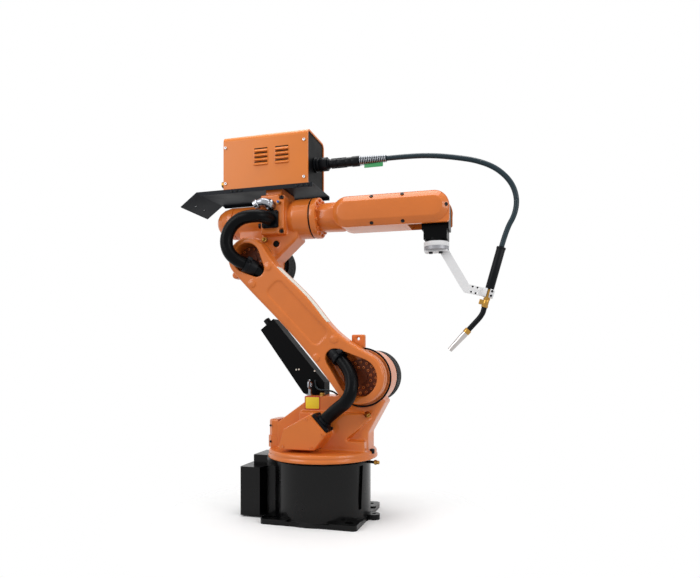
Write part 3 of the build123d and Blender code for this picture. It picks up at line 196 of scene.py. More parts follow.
class Finishes:
    """Every finish of the object, built once and looked up by its slot."""

    PALETTE = {
        "arm_orange": Finish("glossy_orange_paint", (0.84, 0.45, 0.17), 0.36, coat=0.35, coat_roughness=0.08,
                             specular=0.25, grain=Grain.PEEL, grain_size=0.006, grain_depth=0.00012,
                             variation=0.05),
        "feeder_orange": Finish("satin_orange_powder", (0.86, 0.48, 0.17), 0.42, coat=0.2, coat_roughness=0.22,
                                specular=0.2, grain=Grain.PEEL, grain_size=0.0025, grain_depth=0.00008,
                                variation=0.03),
        "base_black": Finish("glossy_black_paint", (0.014, 0.014, 0.016), 0.30, coat=0.22, coat_roughness=0.08,
                             specular=0.10, grain=Grain.PEEL, grain_size=0.006, variation=0.1),
        "tray_dark": Finish("blue_black_powder", (0.06, 0.075, 0.10), 0.5, specular=0.12, grain=Grain.PEEL,
                            grain_size=0.0015, grain_depth=0.00006),
        "motor_black": Finish("cast_black", (0.045, 0.045, 0.05), 0.5, specular=0.15, grain=Grain.CAST,
                              grain_size=0.003, grain_depth=0.0002, variation=0.1),
        "fitting_brass": Finish("turned_brass", (0.66, 0.50, 0.24), 0.28, metallic=1.0, grain=Grain.BRUSHED,
                                grain_depth=0.00003, variation=0.08),
        "fitting_zinc": Finish("bright_zinc", (0.56, 0.57, 0.59), 0.24, metallic=1.0, grain=Grain.CAST,
                               grain_size=0.006, grain_depth=0.0003, variation=0.08),
        "bracket_white": Finish("pale_powder", (0.92, 0.92, 0.925), 0.42, specular=0.3, grain=Grain.PEEL,
                                grain_depth=0.00006, variation=0.02),
        "block_grey": Finish("anodised_grey", (0.60, 0.60, 0.62), 0.4, metallic=0.3, grain=Grain.BRUSHED,
                             grain_size=0.0015, grain_depth=0.00003, variation=0.04),
        "wrist_black": Finish("wrist_black_cover", (0.018, 0.02, 0.024), 0.34, specular=0.06, variation=0.08),
        "torch_black": Finish("moulded_black_plastic", (0.035, 0.045, 0.062), 0.38, specular=0.12,
                              grain_size=0.0015, variation=0.1),
        "nozzle_metal": Finish("nickel_plate", (0.72, 0.70, 0.69), 0.18, metallic=1.0, grain=Grain.BRUSHED,
                               grain_size=0.0015, grain_depth=0.00004, variation=0.1),
        # Black rubber of seals and plugs; also used for the painted shade in louvre openings and screw sockets.
        "seal_black": Finish("seal_rubber_and_painted_shade", (0.02, 0.02, 0.022), 0.6, specular=0.1, variation=0.08),
        "conduit_black": Finish("satin_black_hose", (0.014, 0.018, 0.026), 0.3, specular=0.08,
                                grain_size=0.003, grain_depth=0.00006, variation=0.1),
        "cable_black": Finish("cable_rubber", (0.10, 0.17, 0.20), 0.36, specular=0.25, grain_depth=0.00008,
                              variation=0.08),
        "panel_black": Finish("panel_black_powder", (0.02, 0.022, 0.028), 0.5, specular=0.06, grain=Grain.PEEL,
                              grain_size=0.0015, grain_depth=0.00006),
        "tag_yellow": Finish("plain_yellow_film", (0.97, 0.86, 0.14), 0.4, variation=0.02, like="feeder_orange"),
        "tag_red": Finish("plain_red_film", (0.72, 0.16, 0.12), 0.4, variation=0.02, like="feeder_orange"),
        "tag_green": Finish("plain_green_film", (0.25, 0.62, 0.38), 0.4, variation=0.03, like="bracket_white"),
        "strip_white": Finish("plain_white_film", (0.90, 0.89, 0.84), 0.4, variation=0.02, like="bracket_white"),
        "ring_blue": Finish("blue_release_ring", (0.10, 0.28, 0.62), 0.35, variation=0.04, like="torch_black"),
        # Darker copy of the arm orange: painted shade for the flange discs deep in the shoulder and elbow pockets.
        "flange_painted_shade": Finish("flange_orange_painted_shade", (0.42, 0.20, 0.10), 0.45, specular=0.2, grain=Grain.PEEL,
                               grain_size=0.006, variation=0.08, like="arm_orange"),
        "screw_dark": Finish("black_oxide_screw", (0.07, 0.07, 0.075), 0.35, metallic=0.6, grain=Grain.BRUSHED,
                             grain_size=0.001, grain_depth=0.00002, variation=0.08, like="motor_black"),
        "screw_bright": Finish("zinc_plated_screw", (0.74, 0.74, 0.75), 0.28, metallic=1.0, grain=Grain.BRUSHED,
                               grain_size=0.001, grain_depth=0.00002, like="fitting_zinc"),
    }

    def __init__(self) -> None:
        """Build every material of the palette."""
        self.materials = {slot: finish.build() for slot, finish in self.PALETTE.items()}

    def give(self, piece: bpy.types.Object, slot: str) -> None:
        """Put a finish on every face of a piece.

        Args:
            piece: The object to dress.
            slot: The finish's slot.
        """
        if not piece.material_slots:
            piece.data.materials.append(None)
        for place in piece.material_slots:
            place.material = self.materials[slot]

    def declare(self, piece: bpy.types.Object, slot: str) -> None:
        """Dress a new piece with one of the finishes.

        Args:
            piece: The object to dress.
            slot: The finish's slot, or one of the scene's own finishes.
        """
        self.give(piece, slot)


@dataclass(frozen=True)
class Fitting:
    """A small piece: the bench's form and sizes, its finish, and every place where it sits."""

    name: str
    slot: str
    form: str
    size: tuple
    places: tuple[Point, ...]
    normal: Point = FRONT


@dataclass
class Bench:
    """Modelling helpers: every new piece is made on the bench and then ridden on its body."""

    frame: dict
    finishes: Finishes

    def alone(self, *pieces: bpy.types.Object) -> None:
        """Select these pieces and nothing else, with the first one active.

        Args:
            *pieces: The objects to work on.
        """
        bpy.ops.object.select_all(action="DESELECT")
        for piece in pieces:
            piece.select_set(True)
        bpy.context.view_layer.objects.active = pieces[0]

    def start(self, kind: str, **form: object) -> bpy.types.Object:
        """Add one of Blender's mesh primitives.

        Args:
            kind: cube, cylinder or torus.
            **form: Its sizes.

        Returns:
            The new object.
        """
        bpy.ops.object.select_all(action="DESELECT")
        getattr(bpy.ops.mesh, f"primitive_{kind}_add")(**form)
        return bpy.context.active_object

    def settle(self, name: str, body: str, slot: str, piece: bpy.types.Object,
               seats: Sequence[Matrix] = (), stands_for: str = "") -> bpy.types.Object:
        """Name a finished piece, keep its place in its mesh, dress it and let it ride.

        Args:
            name: The piece's name.
            body: The body that carries it.
            slot: The finish's slot.
            piece: The modelled object.
            seats: Place and direction of each copy, if it isn't in place yet.
            stands_for: The CAD node that it replaces, if any.

        Returns:
            The finished piece.
        """
        if seats:
            piece = self.repeat(piece, seats)
        self.alone(piece)
        bpy.ops.object.transform_apply(location=True, rotation=True, scale=True)
        piece.name = name
        piece.data.name = name
        self.finishes.declare(piece, slot)
        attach(piece, body)
        if stands_for:
            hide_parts(stands_for)
        log.info("%s rides on %s", name, body)
        return piece

    def fit(self, body: str, fittings: Sequence[Fitting]) -> None:
        """Make small pieces from their descriptions.

        Args:
            body: The body that carries them.
            fittings: The pieces.
        """
        for item in fittings:
            master = getattr(self, item.form)(*item.size)
            self.settle(item.name, body, item.slot, master, [seat(place, item.normal) for place in item.places])

    def apply(self, piece: bpy.types.Object, kind: str, **settings: object) -> None:
        """Add one modifier and apply it.

        Args:
            piece: The object to change.
            kind: Blender's modifier type.
            **settings: Values of the modifier.
        """
        self.alone(piece)
        modifier = piece.modifiers.new(kind.lower(), kind)
        for key, value in settings.items():
            setattr(modifier, key, value)
        bpy.ops.object.modifier_apply(modifier=modifier.name)

    def soften(self, piece: bpy.types.Object, width: float, segments: int = 2, limit: float = 30.0,
               smooth: float = 35.0) -> None:
        """Bevel a piece's edges and shade it smooth across flat angles.

        Args:
            piece: The object to change.
            width: Width of the bevel.
            segments: Facets across the bevel.
            limit: Smallest angle between two faces that gets a bevel, in degrees.
            smooth: Largest angle that is shaded smooth, in degrees.
        """
        self.apply(piece, "BEVEL", width=width, segments=segments, limit_method="ANGLE",
                   angle_limit=math.radians(limit))
        bpy.ops.object.shade_smooth_by_angle(angle=math.radians(smooth))

    def pick(self, piece: bpy.types.Object, chosen: Callable[[bpy.types.MeshPolygon], bool]) -> None:
        """Enter edit mode with exactly the chosen faces selected.

        Args:
            piece: The object to edit.
            chosen: Tells for each face whether it is wanted.
        """
        self.alone(piece)
        bpy.ops.object.mode_set(mode="EDIT")
        bpy.ops.mesh.select_mode(type="FACE")
        bpy.ops.mesh.select_all(action="DESELECT")
        bpy.ops.object.mode_set(mode="OBJECT")
        for face in piece.data.polygons:
            face.select = chosen(face)
        bpy.ops.object.mode_set(mode="EDIT")

    def disc(self, radius: float, height: float, sides: int = 32, edge: float = 0.0005) -> bpy.types.Object:
        """Round or many-sided boss standing on the ground plane, with broken edges.

        Args:
            radius: Its radius.
            height: Its height.
            sides: Number of sides, 6 for a nut.
            edge: Width of the bevel.

        Returns:
            The boss.
        """
        piece = self.start("cylinder", vertices=sides, radius=radius, depth=height,
                           location=(0.0, 0.0, height / 2.0))
        bpy.ops.object.transform_apply(location=True)
        self.soften(piece, edge)
        return piece

    def screw(self, radius: float, height: float) -> bpy.types.Object:
        """Round screw head with a sunk socket.

        Args:
            radius: Radius of the head.
            height: Height of the head.

        Returns:
            The screw head, standing on the ground plane.
        """
        piece = self.disc(radius, height, 24, radius * 0.12)
        self.pick(piece, lambda face: face.normal.z > 0.99 and face.center.z > height * 0.99)
        bpy.ops.mesh.inset(thickness=radius * 0.38)
        bpy.ops.mesh.extrude_region_move(TRANSFORM_OT_translate={"value": (0.0, 0.0, -height * 0.55)})
        bpy.ops.object.mode_set(mode="OBJECT")
        return piece

    def plate(self, size: Point, corner: float, edge: float = 0.0004) -> bpy.types.Object:
        """Flat plate on the ground plane with round corners and broken edges.

        Args:
            size: Length, width and thickness.
            corner: Radius of the four corners.
            edge: Width of the bevel on the rims.

        Returns:
            The plate.
        """
        piece = self.start("cube", size=1.0)
        piece.scale = size
        piece.location = (0.0, 0.0, size[2] / 2.0)
        bpy.ops.object.transform_apply(location=True, scale=True)
        bpy.ops.object.mode_set(mode="EDIT")
        bpy.ops.mesh.select_mode(type="EDGE")
        bpy.ops.mesh.select_all(action="DESELECT")
        bpy.ops.object.mode_set(mode="OBJECT")
        for side in piece.data.edges:
            ends = [piece.data.vertices[i].co for i in side.vertices]
            side.select = abs(ends[0].z - ends[1].z) > size[2] / 2.0
        bpy.ops.object.mode_set(mode="EDIT")
        bpy.ops.mesh.bevel(offset=corner, segments=5)
        bpy.ops.object.mode_set(mode="OBJECT")
        self.soften(piece, edge, limit=50.0)
        return piece

    def band(self, radius: float, width: float, wall: float) -> bpy.types.Object:
        """Open round strap about the vertical axis, its middle on the ground plane.

        Args:
            radius: Inner radius.
            width: Its width.
            wall: Thickness of the strap.

        Returns:
            The strap.
        """
        piece = self.start("cylinder", vertices=48, radius=radius, depth=width, end_fill_type="NOTHING")
        self.apply(piece, "SOLIDIFY", thickness=wall, offset=1.0)
        self.soften(piece, wall * 0.25)
        return piece

    def turned(self, steps: Sequence[tuple], foot: Point, normal: Point) -> bpy.types.Object:
        """Stepped piece made of discs in a row.

        Args:
            steps: For each disc its distance from the foot, radius, height, sides and bevel.
            foot: Where the first step is measured from.
            normal: The way the row points.

        Returns:
            The joined discs, in place.
        """
        way = Vector(normal).normalized()
        return self.join([self.place(self.disc(*form), seat(Vector(foot) + way * shift, normal))
                          for shift, *form in steps])

    def place(self, piece: bpy.types.Object, spot: Matrix) -> bpy.types.Object:
        """Move a modelled piece to its seat and keep the place in its mesh.

        Args:
            piece: The piece, modelled about the origin.
            spot: Its place and direction.

        Returns:
            The same piece.
        """
        piece.matrix_world = spot
        self.alone(piece)
        bpy.ops.object.transform_apply(location=True, rotation=True, scale=True)
        return piece

    def join(self, pieces: Sequence[bpy.types.Object]) -> bpy.types.Object:
        """Join several pieces into the first one.

        Args:
            pieces: The pieces to join.

        Returns:
            The joined piece.
        """
        if len(pieces) > 1:
            self.alone(*pieces)
            bpy.ops.object.join()
        return pieces[0]

    def repeat(self, master: bpy.types.Object, seats: Sequence[Matrix]) -> bpy.types.Object:
        """Copies of one modelled piece at several seats, joined into one object.

        Args:
            master: The modelled piece, which is used up.
            seats: Place and direction of each copy.

        Returns:
            The joined copies.
        """
        copies = [self.place(self.copy(master), spot) for spot in seats]
        bpy.data.objects.remove(master)
        return self.join(copies)

    def copy(self, source: bpy.types.Object) -> bpy.types.Object:
        """Free copy of a piece, with its own mesh and without the marks of the first.

        Args:
            source: The piece to copy.

        Returns:
            The copy.
        """
        piece = source.copy()
        piece.data = source.data.copy()
        for key in list(piece.keys()):
            del piece[key]
        piece.parent = None
        bpy.context.scene.collection.objects.link(piece)
        return piece

    def skin(self, node: str, body: str, slot: str, voxel: float, softness: int) -> bpy.types.Object:
        """Cast surface over a CAD node: the same form with the round edges of a casting.

        Args:
            node: The CAD node that the skin stands for.
            body: The body that carries it.
            slot: The finish's slot.
            voxel: Size of the surface's facets.
            softness: Rounds of smoothing, which set how round the edges get.

        Returns:
            The new piece.
        """
        piece = self.copy(self.frame["nodes"][node])
        self.alone(piece)
        bpy.ops.object.mode_set(mode="EDIT")
        bpy.ops.mesh.select_all(action="SELECT")
        bpy.ops.mesh.remove_doubles(threshold=0.00001)
        bpy.ops.object.mode_set(mode="OBJECT")
        self.apply(piece, "REMESH", mode="VOXEL", voxel_size=voxel)
        self.apply(piece, "SMOOTH", factor=0.5, iterations=softness)
        bpy.ops.object.shade_smooth()
        return self.settle(f"{node}_skin", body, slot, piece, stands_for=node)


def seat(place: Point | Vector, normal: Point | Vector, spin: float = 0.0) -> Matrix:
    """Place and direction for a piece that was modelled standing on the ground plane.

    Args:
        place: Where its foot goes.
        normal: The way it stands up from there.
        spin: Turn about its own axis, in radians.

    Returns:
        The matrix for the piece.
    """
    turn = Vector(normal).to_track_quat("Z", "Y").to_matrix().to_4x4()
    return Matrix.Translation(place) @ turn @ Matrix.Rotation(spin, 4, "Z")


def turn_to(across: Vector, ahead: Vector) -> Matrix:
    """Rotation that brings X to one direction and Z to another at right angles to it.

    Args:
        across: Where X goes.
        ahead: Where Z goes.

    Returns:
        The rotation.
    """
    return Matrix((across, ahead.cross(across), ahead)).transposed().to_4x4()


def nurbs_line(route: Sequence[Point]) -> list[Vector]:
    """Points along the smooth spline that has a route's points as its control points.

    Args:
        route: The control points, in metres.

    Returns:
        The points of the line, from its first end to its last.
    """
    curve = bpy.data.curves.new("route", "CURVE")
    curve.dimensions = "3D"
    curve.resolution_u = 24
    spline = curve.splines.new("NURBS")
    spline.points.add(len(route) - 1)
    for control, place in zip(spline.points, route):
        control.co = (*place, 1.0)
    spline.order_u = 3
    spline.use_endpoint_u = True
    holder = bpy.data.objects.new("route", curve)
    bpy.context.scene.collection.objects.link(holder)
    bpy.context.view_layer.update()
    mesh = bpy.data.meshes.new_from_object(holder)
    line = [vertex.co.copy() for vertex in mesh.vertices]
    bpy.data.meshes.remove(mesh)
    bpy.data.objects.remove(holder)
    bpy.data.curves.remove(curve)
    return line


def distances(line: Sequence[Vector]) -> list[float]:
    """Distance of each point from the line's start, measured along it.

    Args:
        line: Points of the line.

    Returns:
        One distance for each point.
    """
    total = [0.0]
    for before, here in zip(line, line[1:]):
        total.append(total[-1] + (here - before).length)
    return total


def even_line(route: Sequence[Point], step: float) -> list[Vector]:
    """The smooth line of a route, with points at an even spacing.

    Args:
        route: The control points.
        step: The spacing aimed at.

    Returns:
        Evenly spaced points, both ends kept.
    """
    line = nurbs_line(route)
    along = distances(line)
    count = max(2, round(along[-1] / step))
    result, index = [], 0
    for i in range(count + 1):
        wanted = along[-1] * i / count
        while index < len(along) - 2 and along[index + 1] < wanted:
            index += 1
        span = along[index + 1] - along[index]
        share = 0.0 if span == 0.0 else (wanted - along[index]) / span
        result.append(line[index].lerp(line[index + 1], min(1.0, share)))
    return result


def tube_mesh(name: str, line: Sequence[Vector], radius: Callable[[float], float],
              sides: int = 32) -> bpy.types.Object:
    """Round closed tube along a line, with a radius that may change along it.

    Args:
        name: Name of the object.
        line: Centre points.
        radius: Gives the radius at a distance from the start.
        sides: Points round each ring.

    Returns:
        The tube as a mesh object.
    """
    along = distances(line)
    ahead = (line[1] - line[0]).normalized()
    side = ahead.orthogonal().normalized()
    vertices: list[Vector] = []
    for i, centre in enumerate(line):
        new_ahead = (line[min(i + 1, len(line) - 1)] - line[max(i - 1, 0)]).normalized()
        side = (ahead.rotation_difference(new_ahead) @ side).normalized()
        ahead = new_ahead
        up = ahead.cross(side).normalized()
        for k in range(sides):
            turn = 2.0 * math.pi * k / sides
            vertices.append(centre + (side * math.cos(turn) + up * math.sin(turn)) * radius(along[i]))
    faces: list[tuple[int, ...]] = []
    for i in range(len(line) - 1):
        for k in range(sides):
            a, b = i * sides + k, i * sides + (k + 1) % sides
            faces.append((a, b, b + sides, a + sides))
    last = (len(line) - 1) * sides
    faces += [tuple(reversed(range(sides))), tuple(range(last, last + sides))]
    mesh = bpy.data.meshes.new(name)
    mesh.from_pydata(vertices, [], faces)
    mesh.update()
    tube = bpy.data.objects.new(name, mesh)
    bpy.context.scene.collection.objects.link(tube)
    for face in mesh.polygons:
        face.use_smooth = len(face.vertices) == 4
    return tube


@dataclass
class Studio:
    """Pale floor, soft light and the camera at the photograph's viewing angle."""

    camera_place: Point = (0.661, -1.930, 0.544)
    camera_turn: float = 16.27
    lens: float = 30.0
    shift_up: float = 0.100
    ambient: float = 0.45
    floor_half: float = 8.0
    floor_grey: float = 0.98
    floor_fade: tuple[float, float] = (0.22, 0.75)
    lamps: tuple[tuple[str, Point, Point, float, float], ...] = (
        ("left_softbox", (-2.2, -2.4, 2.4), (0.0, 0.0, 0.7), 1.8, 50.0),
        ("right_softbox", (2.6, -1.2, 1.6), (0.1, 0.0, 0.6), 1.4, 26.0),
        ("top_softbox", (0.0, 0.2, 3.2), (0.0, 0.0, 0.6), 2.2, 62.0),
    )

    def build(self) -> None:
        """Make the floor, the world, the lamps and the camera."""
        self.build_world()
        self.build_floor()
        for name, place, aim, size, power in self.lamps:
            data = bpy.data.lights.new(name, "AREA")
            data.size = size
            data.energy = power
            turn = (Vector(aim) - Vector(place)).to_track_quat("-Z", "Y").to_euler()
            self.stand(name, data, place, turn)
        data = bpy.data.cameras.new("photo_camera")
        data.sensor_width = 36.0
        data.lens = self.lens
        data.shift_y = self.shift_up
        turn = (math.radians(90.0), 0.0, math.radians(self.camera_turn))
        bpy.context.scene.camera = self.stand("photo_camera", data, self.camera_place, turn)
        bpy.context.scene.view_settings.view_transform = "Standard"

    def stand(self, name: str, data: bpy.types.ID, place: Point, turn: Sequence[float]) -> bpy.types.Object:
        """Put a lamp or camera in the scene.

        Args:
            name: Its name.
            data: The lamp or camera.
            place: Where it stands.
            turn: Its rotation.

        Returns:
            The new object.
        """
        thing = bpy.data.objects.new(name, data)
        thing.location = place
        thing.rotation_euler = turn
        bpy.context.scene.collection.objects.link(thing)
        return thing

    def build_world(self) -> None:
        """White for what the camera and reflections see, a plain level for the light itself."""
        world = bpy.data.worlds.new("studio_world")
        bpy.context.scene.world = world
        world.use_nodes = True
        tree = world.node_tree
        rays = add_node(tree, "ShaderNodeLightPath", {}).outputs
        seen = add_node(tree, "ShaderNodeMath", {0: rays["Is Camera Ray"], 1: rays["Is Transmission Ray"]},
                        operation="MAXIMUM")
        mirrored = add_node(tree, "ShaderNodeMath", {0: seen.outputs[0], 1: rays["Is Glossy Ray"]},
                            operation="MAXIMUM")
        level = add_node(tree, "ShaderNodeMapRange", {
            "To Min": self.ambient, "To Max": 1.0, "Value": mirrored.outputs[0]})
        fill(tree, tree.nodes["Background"], {"Strength": level.outputs["Result"], "Color": (1.0, 1.0, 1.0, 1.0)})

    def build_floor(self) -> None:
        """Pale floor that keeps the shadow near the object and melts into the backdrop further out."""
        bpy.ops.object.select_all(action="DESELECT")
        bpy.ops.mesh.primitive_plane_add(size=2.0 * self.floor_half, location=(0.0, 0.0, 0.0))
        floor = bpy.context.active_object
        floor.name = "studio_floor"
        material = bpy.data.materials.new("studio_floor")
        material.use_nodes = True
        tree = material.node_tree
        shader = tree.nodes["Principled BSDF"]
        fill(tree, shader, {"Base Color": (self.floor_grey, self.floor_grey, self.floor_grey, 1.0),
                            "Roughness": 0.9, "Specular IOR Level": 0.1})
        place = add_node(tree, "ShaderNodeTexCoord", {}).outputs["Object"]
        reach = add_node(tree, "ShaderNodeVectorMath", {0: place}, operation="LENGTH")
        fade = add_node(tree, "ShaderNodeMapRange", {
            "From Min": self.floor_fade[0], "From Max": self.floor_fade[1], "Value": reach.outputs["Value"]},
            interpolation_type="SMOOTHSTEP")
        clear = add_node(tree, "ShaderNodeBsdfTransparent", {})
        mix = add_node(tree, "ShaderNodeMixShader", {
            "Fac": fade.outputs["Result"], 1: shader.outputs[0], 2: clear.outputs[0]})
        fill(tree, tree.nodes["Material Output"], {"Surface": mix.outputs[0]})
        floor.data.materials.append(material)


@dataclass
class Conduits:
    """The two black protective hoses that bridge the shoulder and the elbow."""

    bench: Bench
    diameter: float = 0.044
    rib_pitch: float = 0.004
    rib_height: float = 0.0007
    step: float = 0.0013
    lower_route: list[Point] = field(default_factory=lambda: [
        (0.04434, -0.108, 0.34359), (0.06064, -0.108, 0.35836), (0.097, -0.129, 0.386),
        (0.126, -0.144, 0.404), (0.146, -0.149, 0.438), (0.144, -0.132, 0.478),
        (0.124, -0.112, 0.514), (0.095, -0.098, 0.542), (0.066, -0.089, 0.570),
    ])
    upper_route: list[Point] = field(default_factory=lambda: [
        (-0.16599, -0.082, 1.02517), (-0.16599, -0.128, 1.02517), (-0.200, -0.153, 1.022),
        (-0.242, -0.154, 1.016), (-0.280, -0.153, 0.988), (-0.297, -0.151, 0.946),
        (-0.289, -0.149, 0.907), (-0.266, -0.142, 0.881), (-0.236, -0.117, 0.866),
        (-0.202, -0.092, 0.848), (-0.166, -0.089, 0.816),
    ])
    play: float = 0.0002
    clamp_width: float = 0.016
    clamp_wall: float = 0.006
    ear_side: float = 0.014
    ear_reach: float = 0.032
    ear_corner: float = 0.002
    ear_screw: tuple[float, float] = (0.0045, 0.005)
    boot_length: float = 0.034
    boot_wall: float = 0.0045
    lower_clamp: tuple[Point, Point] = ((0.079, -0.100, 0.541), (0.4, -1.0, 0.6))
    upper_clamp: tuple[Point, Point] = ((-0.238, -0.114, 0.868), (0.2, -1.0, 0.7))

    def build(self) -> None:
        """Make both hoses and their clamps."""
        self.hose("lower_conduit", self.lower_route, ("turret", "lower_arm"))
        self.hose("upper_conduit", self.upper_route, ("elbow", "lower_arm"))
        self.clamp("lower_conduit", self.lower_route, *map(Vector, self.lower_clamp))
        self.clamp("upper_conduit", self.upper_route, *map(Vector, self.upper_clamp))

    def hose(self, node: str, route: Sequence[Point], bodies: tuple[str, str]) -> None:
        """One ribbed hose.

        Args:
            node: The CAD node that it stands for.
            route: Its control points.
            bodies: The body at its first end and the body at its last.
        """
        piece = tube_mesh(f"{node}_hose", even_line(route, self.step), self.radius)
        self.bench.finishes.declare(piece, "conduit_black")
        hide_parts(node)
        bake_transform(piece)
        log.info("%s bends from %s to %s", piece.name, *bodies)

    def clamp(self, node: str, route: Sequence[Point], near: Vector, ear_way: Vector) -> None:
        """Black strap clamp with its ears, screws and boot, where a hose enters an arm pocket.

        Args:
            node: The hose that it holds.
            route: Control points of the hose.
            near: Point of the hose that it sits at.
            ear_way: The way its ears point.
        """
        line = nurbs_line(route)
        i = min(range(1, len(line) - 1), key=lambda k: (line[k] - near).length)
        ahead = (line[i + 1] - line[i - 1]).normalized()
        across = (ear_way - ahead * ear_way.dot(ahead)).normalized()
        inner = self.diameter / 2.0 + self.play
        parts = [self.bench.band(inner, self.clamp_width, self.clamp_wall)]
        for reach in (-self.ear_reach, self.ear_reach):
            ear = self.bench.plate((self.ear_side, self.ear_side, self.clamp_width), self.ear_corner)
            parts.append(self.bench.place(ear, Matrix.Translation((reach, 0.0, -self.clamp_width / 2.0))))
            screw = self.bench.screw(*self.ear_screw)
            parts.append(self.bench.place(screw, seat((reach, self.ear_side / 2.0, 0.0), (0.0, 1.0, 0.0))))
        boot = self.bench.band(inner, self.boot_length, self.boot_wall)
        parts.append(self.bench.place(boot, Matrix.Translation((0.0, 0.0, self.boot_length / 2.0))))
        clamp = self.bench.place(self.bench.join(parts), Matrix.Translation(line[i]) @ turn_to(across, ahead))
        self.bench.settle(f"{node}_clamp", "lower_arm", "torch_black", clamp)

    def radius(self, along: float) -> float:
        """Radius of the ribbed hose at a distance from its start."""
        return self.diameter / 2.0 - self.rib_height * (0.5 - 0.5 * math.cos(2.0 * math.pi * along / self.rib_pitch))


@dataclass
class TorchCable:
    """The welding cable from the feeder's plug over the forearm to the torch handle."""

    bench: Bench
    diameter: float = 0.017
    step: float = 0.004
    route: list[Point] = field(default_factory=lambda: [
        (0.22597, 0.008, 1.22598), (0.310, 0.008, 1.226), (0.390, 0.004, 1.218), (0.462, 0.002, 1.204),
        (0.528, 0.0, 1.187), (0.588, 0.0, 1.158), (0.634, 0.0, 1.110), (0.652, 0.0, 1.056),
        (0.645, 0.0, 1.004), (0.61908, 0.0, 0.95976), (0.603, 0.0, 0.90196),
    ])
    shares: tuple[float, ...] = (0.0, 0.22, 0.48, 0.76, 1.0)
    bodies: tuple[str, ...] = ("elbow", "forearm", "wrist", "tool")

    def build(self) -> None:
        """Make the cable in four stretches; the first rides on the elbow, the other three stay unattached."""
        line = even_line(self.route, self.step)
        cuts = [round(share * (len(line) - 1)) for share in self.shares]
        for i, (first, last) in enumerate(zip(cuts, cuts[1:])):
            stretch = line[first:last + 1]
            piece = tube_mesh(f"torch_cable_{i + 1}", stretch, lambda along: self.diameter / 2.0)
            self.bench.finishes.declare(piece, "cable_black")
            if i == 0:
                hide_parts("torch_cable")
                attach(piece, "elbow")
            else:
                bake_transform(piece)


@dataclass
class Castings:
    """Cast surfaces over the solids, with the soft edges that a sand casting has."""

    bench: Bench
    strip_start: float = 0.205
    strip_end: float = 0.462
    strip_depth: tuple[float, float] = (-0.113, -0.078)
    strip_thickness: float = 0.0008
    rim_radius: float = 0.190
    rim_top: float = 0.240
    groove_z: float = 0.2225
    groove_half: float = 0.0034
    groove_depth: float = 0.0042

    def build(self) -> None:
        """Make every cast surface, the rim's groove and the plain strip on the lower arm's upper edge."""
        self.groove_rim(self.bench.skin("turret_casting", "turret", "arm_orange", 0.0030, 4))
        self.strip(self.bench.skin("lower_arm_casting", "lower_arm", "arm_orange", 0.0024, 4))
        self.bench.skin("elbow_casting", "elbow", "arm_orange", 0.0027, 4)

    def groove_rim(self, turret: bpy.types.Object) -> None:
        """Turn a soft groove into the side of the turning rim, which leaves two round beads.

        Args:
            turret: The turret's cast surface.
        """
        for corner in turret.data.vertices:
            reach = math.hypot(corner.co.x, corner.co.y)
            if reach > self.rim_radius - 0.010 and corner.co.z < self.rim_top:
                depth = self.groove_depth * math.exp(-((corner.co.z - self.groove_z) / self.groove_half) ** 2)
                corner.co.x *= 1.0 - depth / reach
                corner.co.y *= 1.0 - depth / reach

    def strip(self, arm: bpy.types.Object) -> None:
        """Plain white strip that follows the upper edge of the lower arm.

        Args:
            arm: The lower arm's cast surface, whose faces it copies.
        """
        along = Vector((-math.sin(ARM_LEAN), 0.0, math.cos(ARM_LEAN)))
        upward = Vector((math.cos(ARM_LEAN), 0.0, math.sin(ARM_LEAN)))

        def outside(face: bpy.types.MeshPolygon) -> bool:
            """Whether a face lies off the strip."""
            reach = face.center - SHOULDER
            return not (self.strip_start < reach.dot(along) < self.strip_end and face.normal.dot(upward) > 0.8
                        and reach.dot(upward) > 0.04 and self.strip_depth[0] < face.center.y < self.strip_depth[1])

        piece = self.bench.copy(arm)
        self.bench.pick(piece, outside)
        bpy.ops.mesh.delete(type="FACE")
        bpy.ops.object.mode_set(mode="OBJECT")
        self.bench.apply(piece, "SOLIDIFY", thickness=self.strip_thickness, offset=1.0)
        self.bench.settle("lower_arm_strip", "lower_arm", "strip_white", piece)


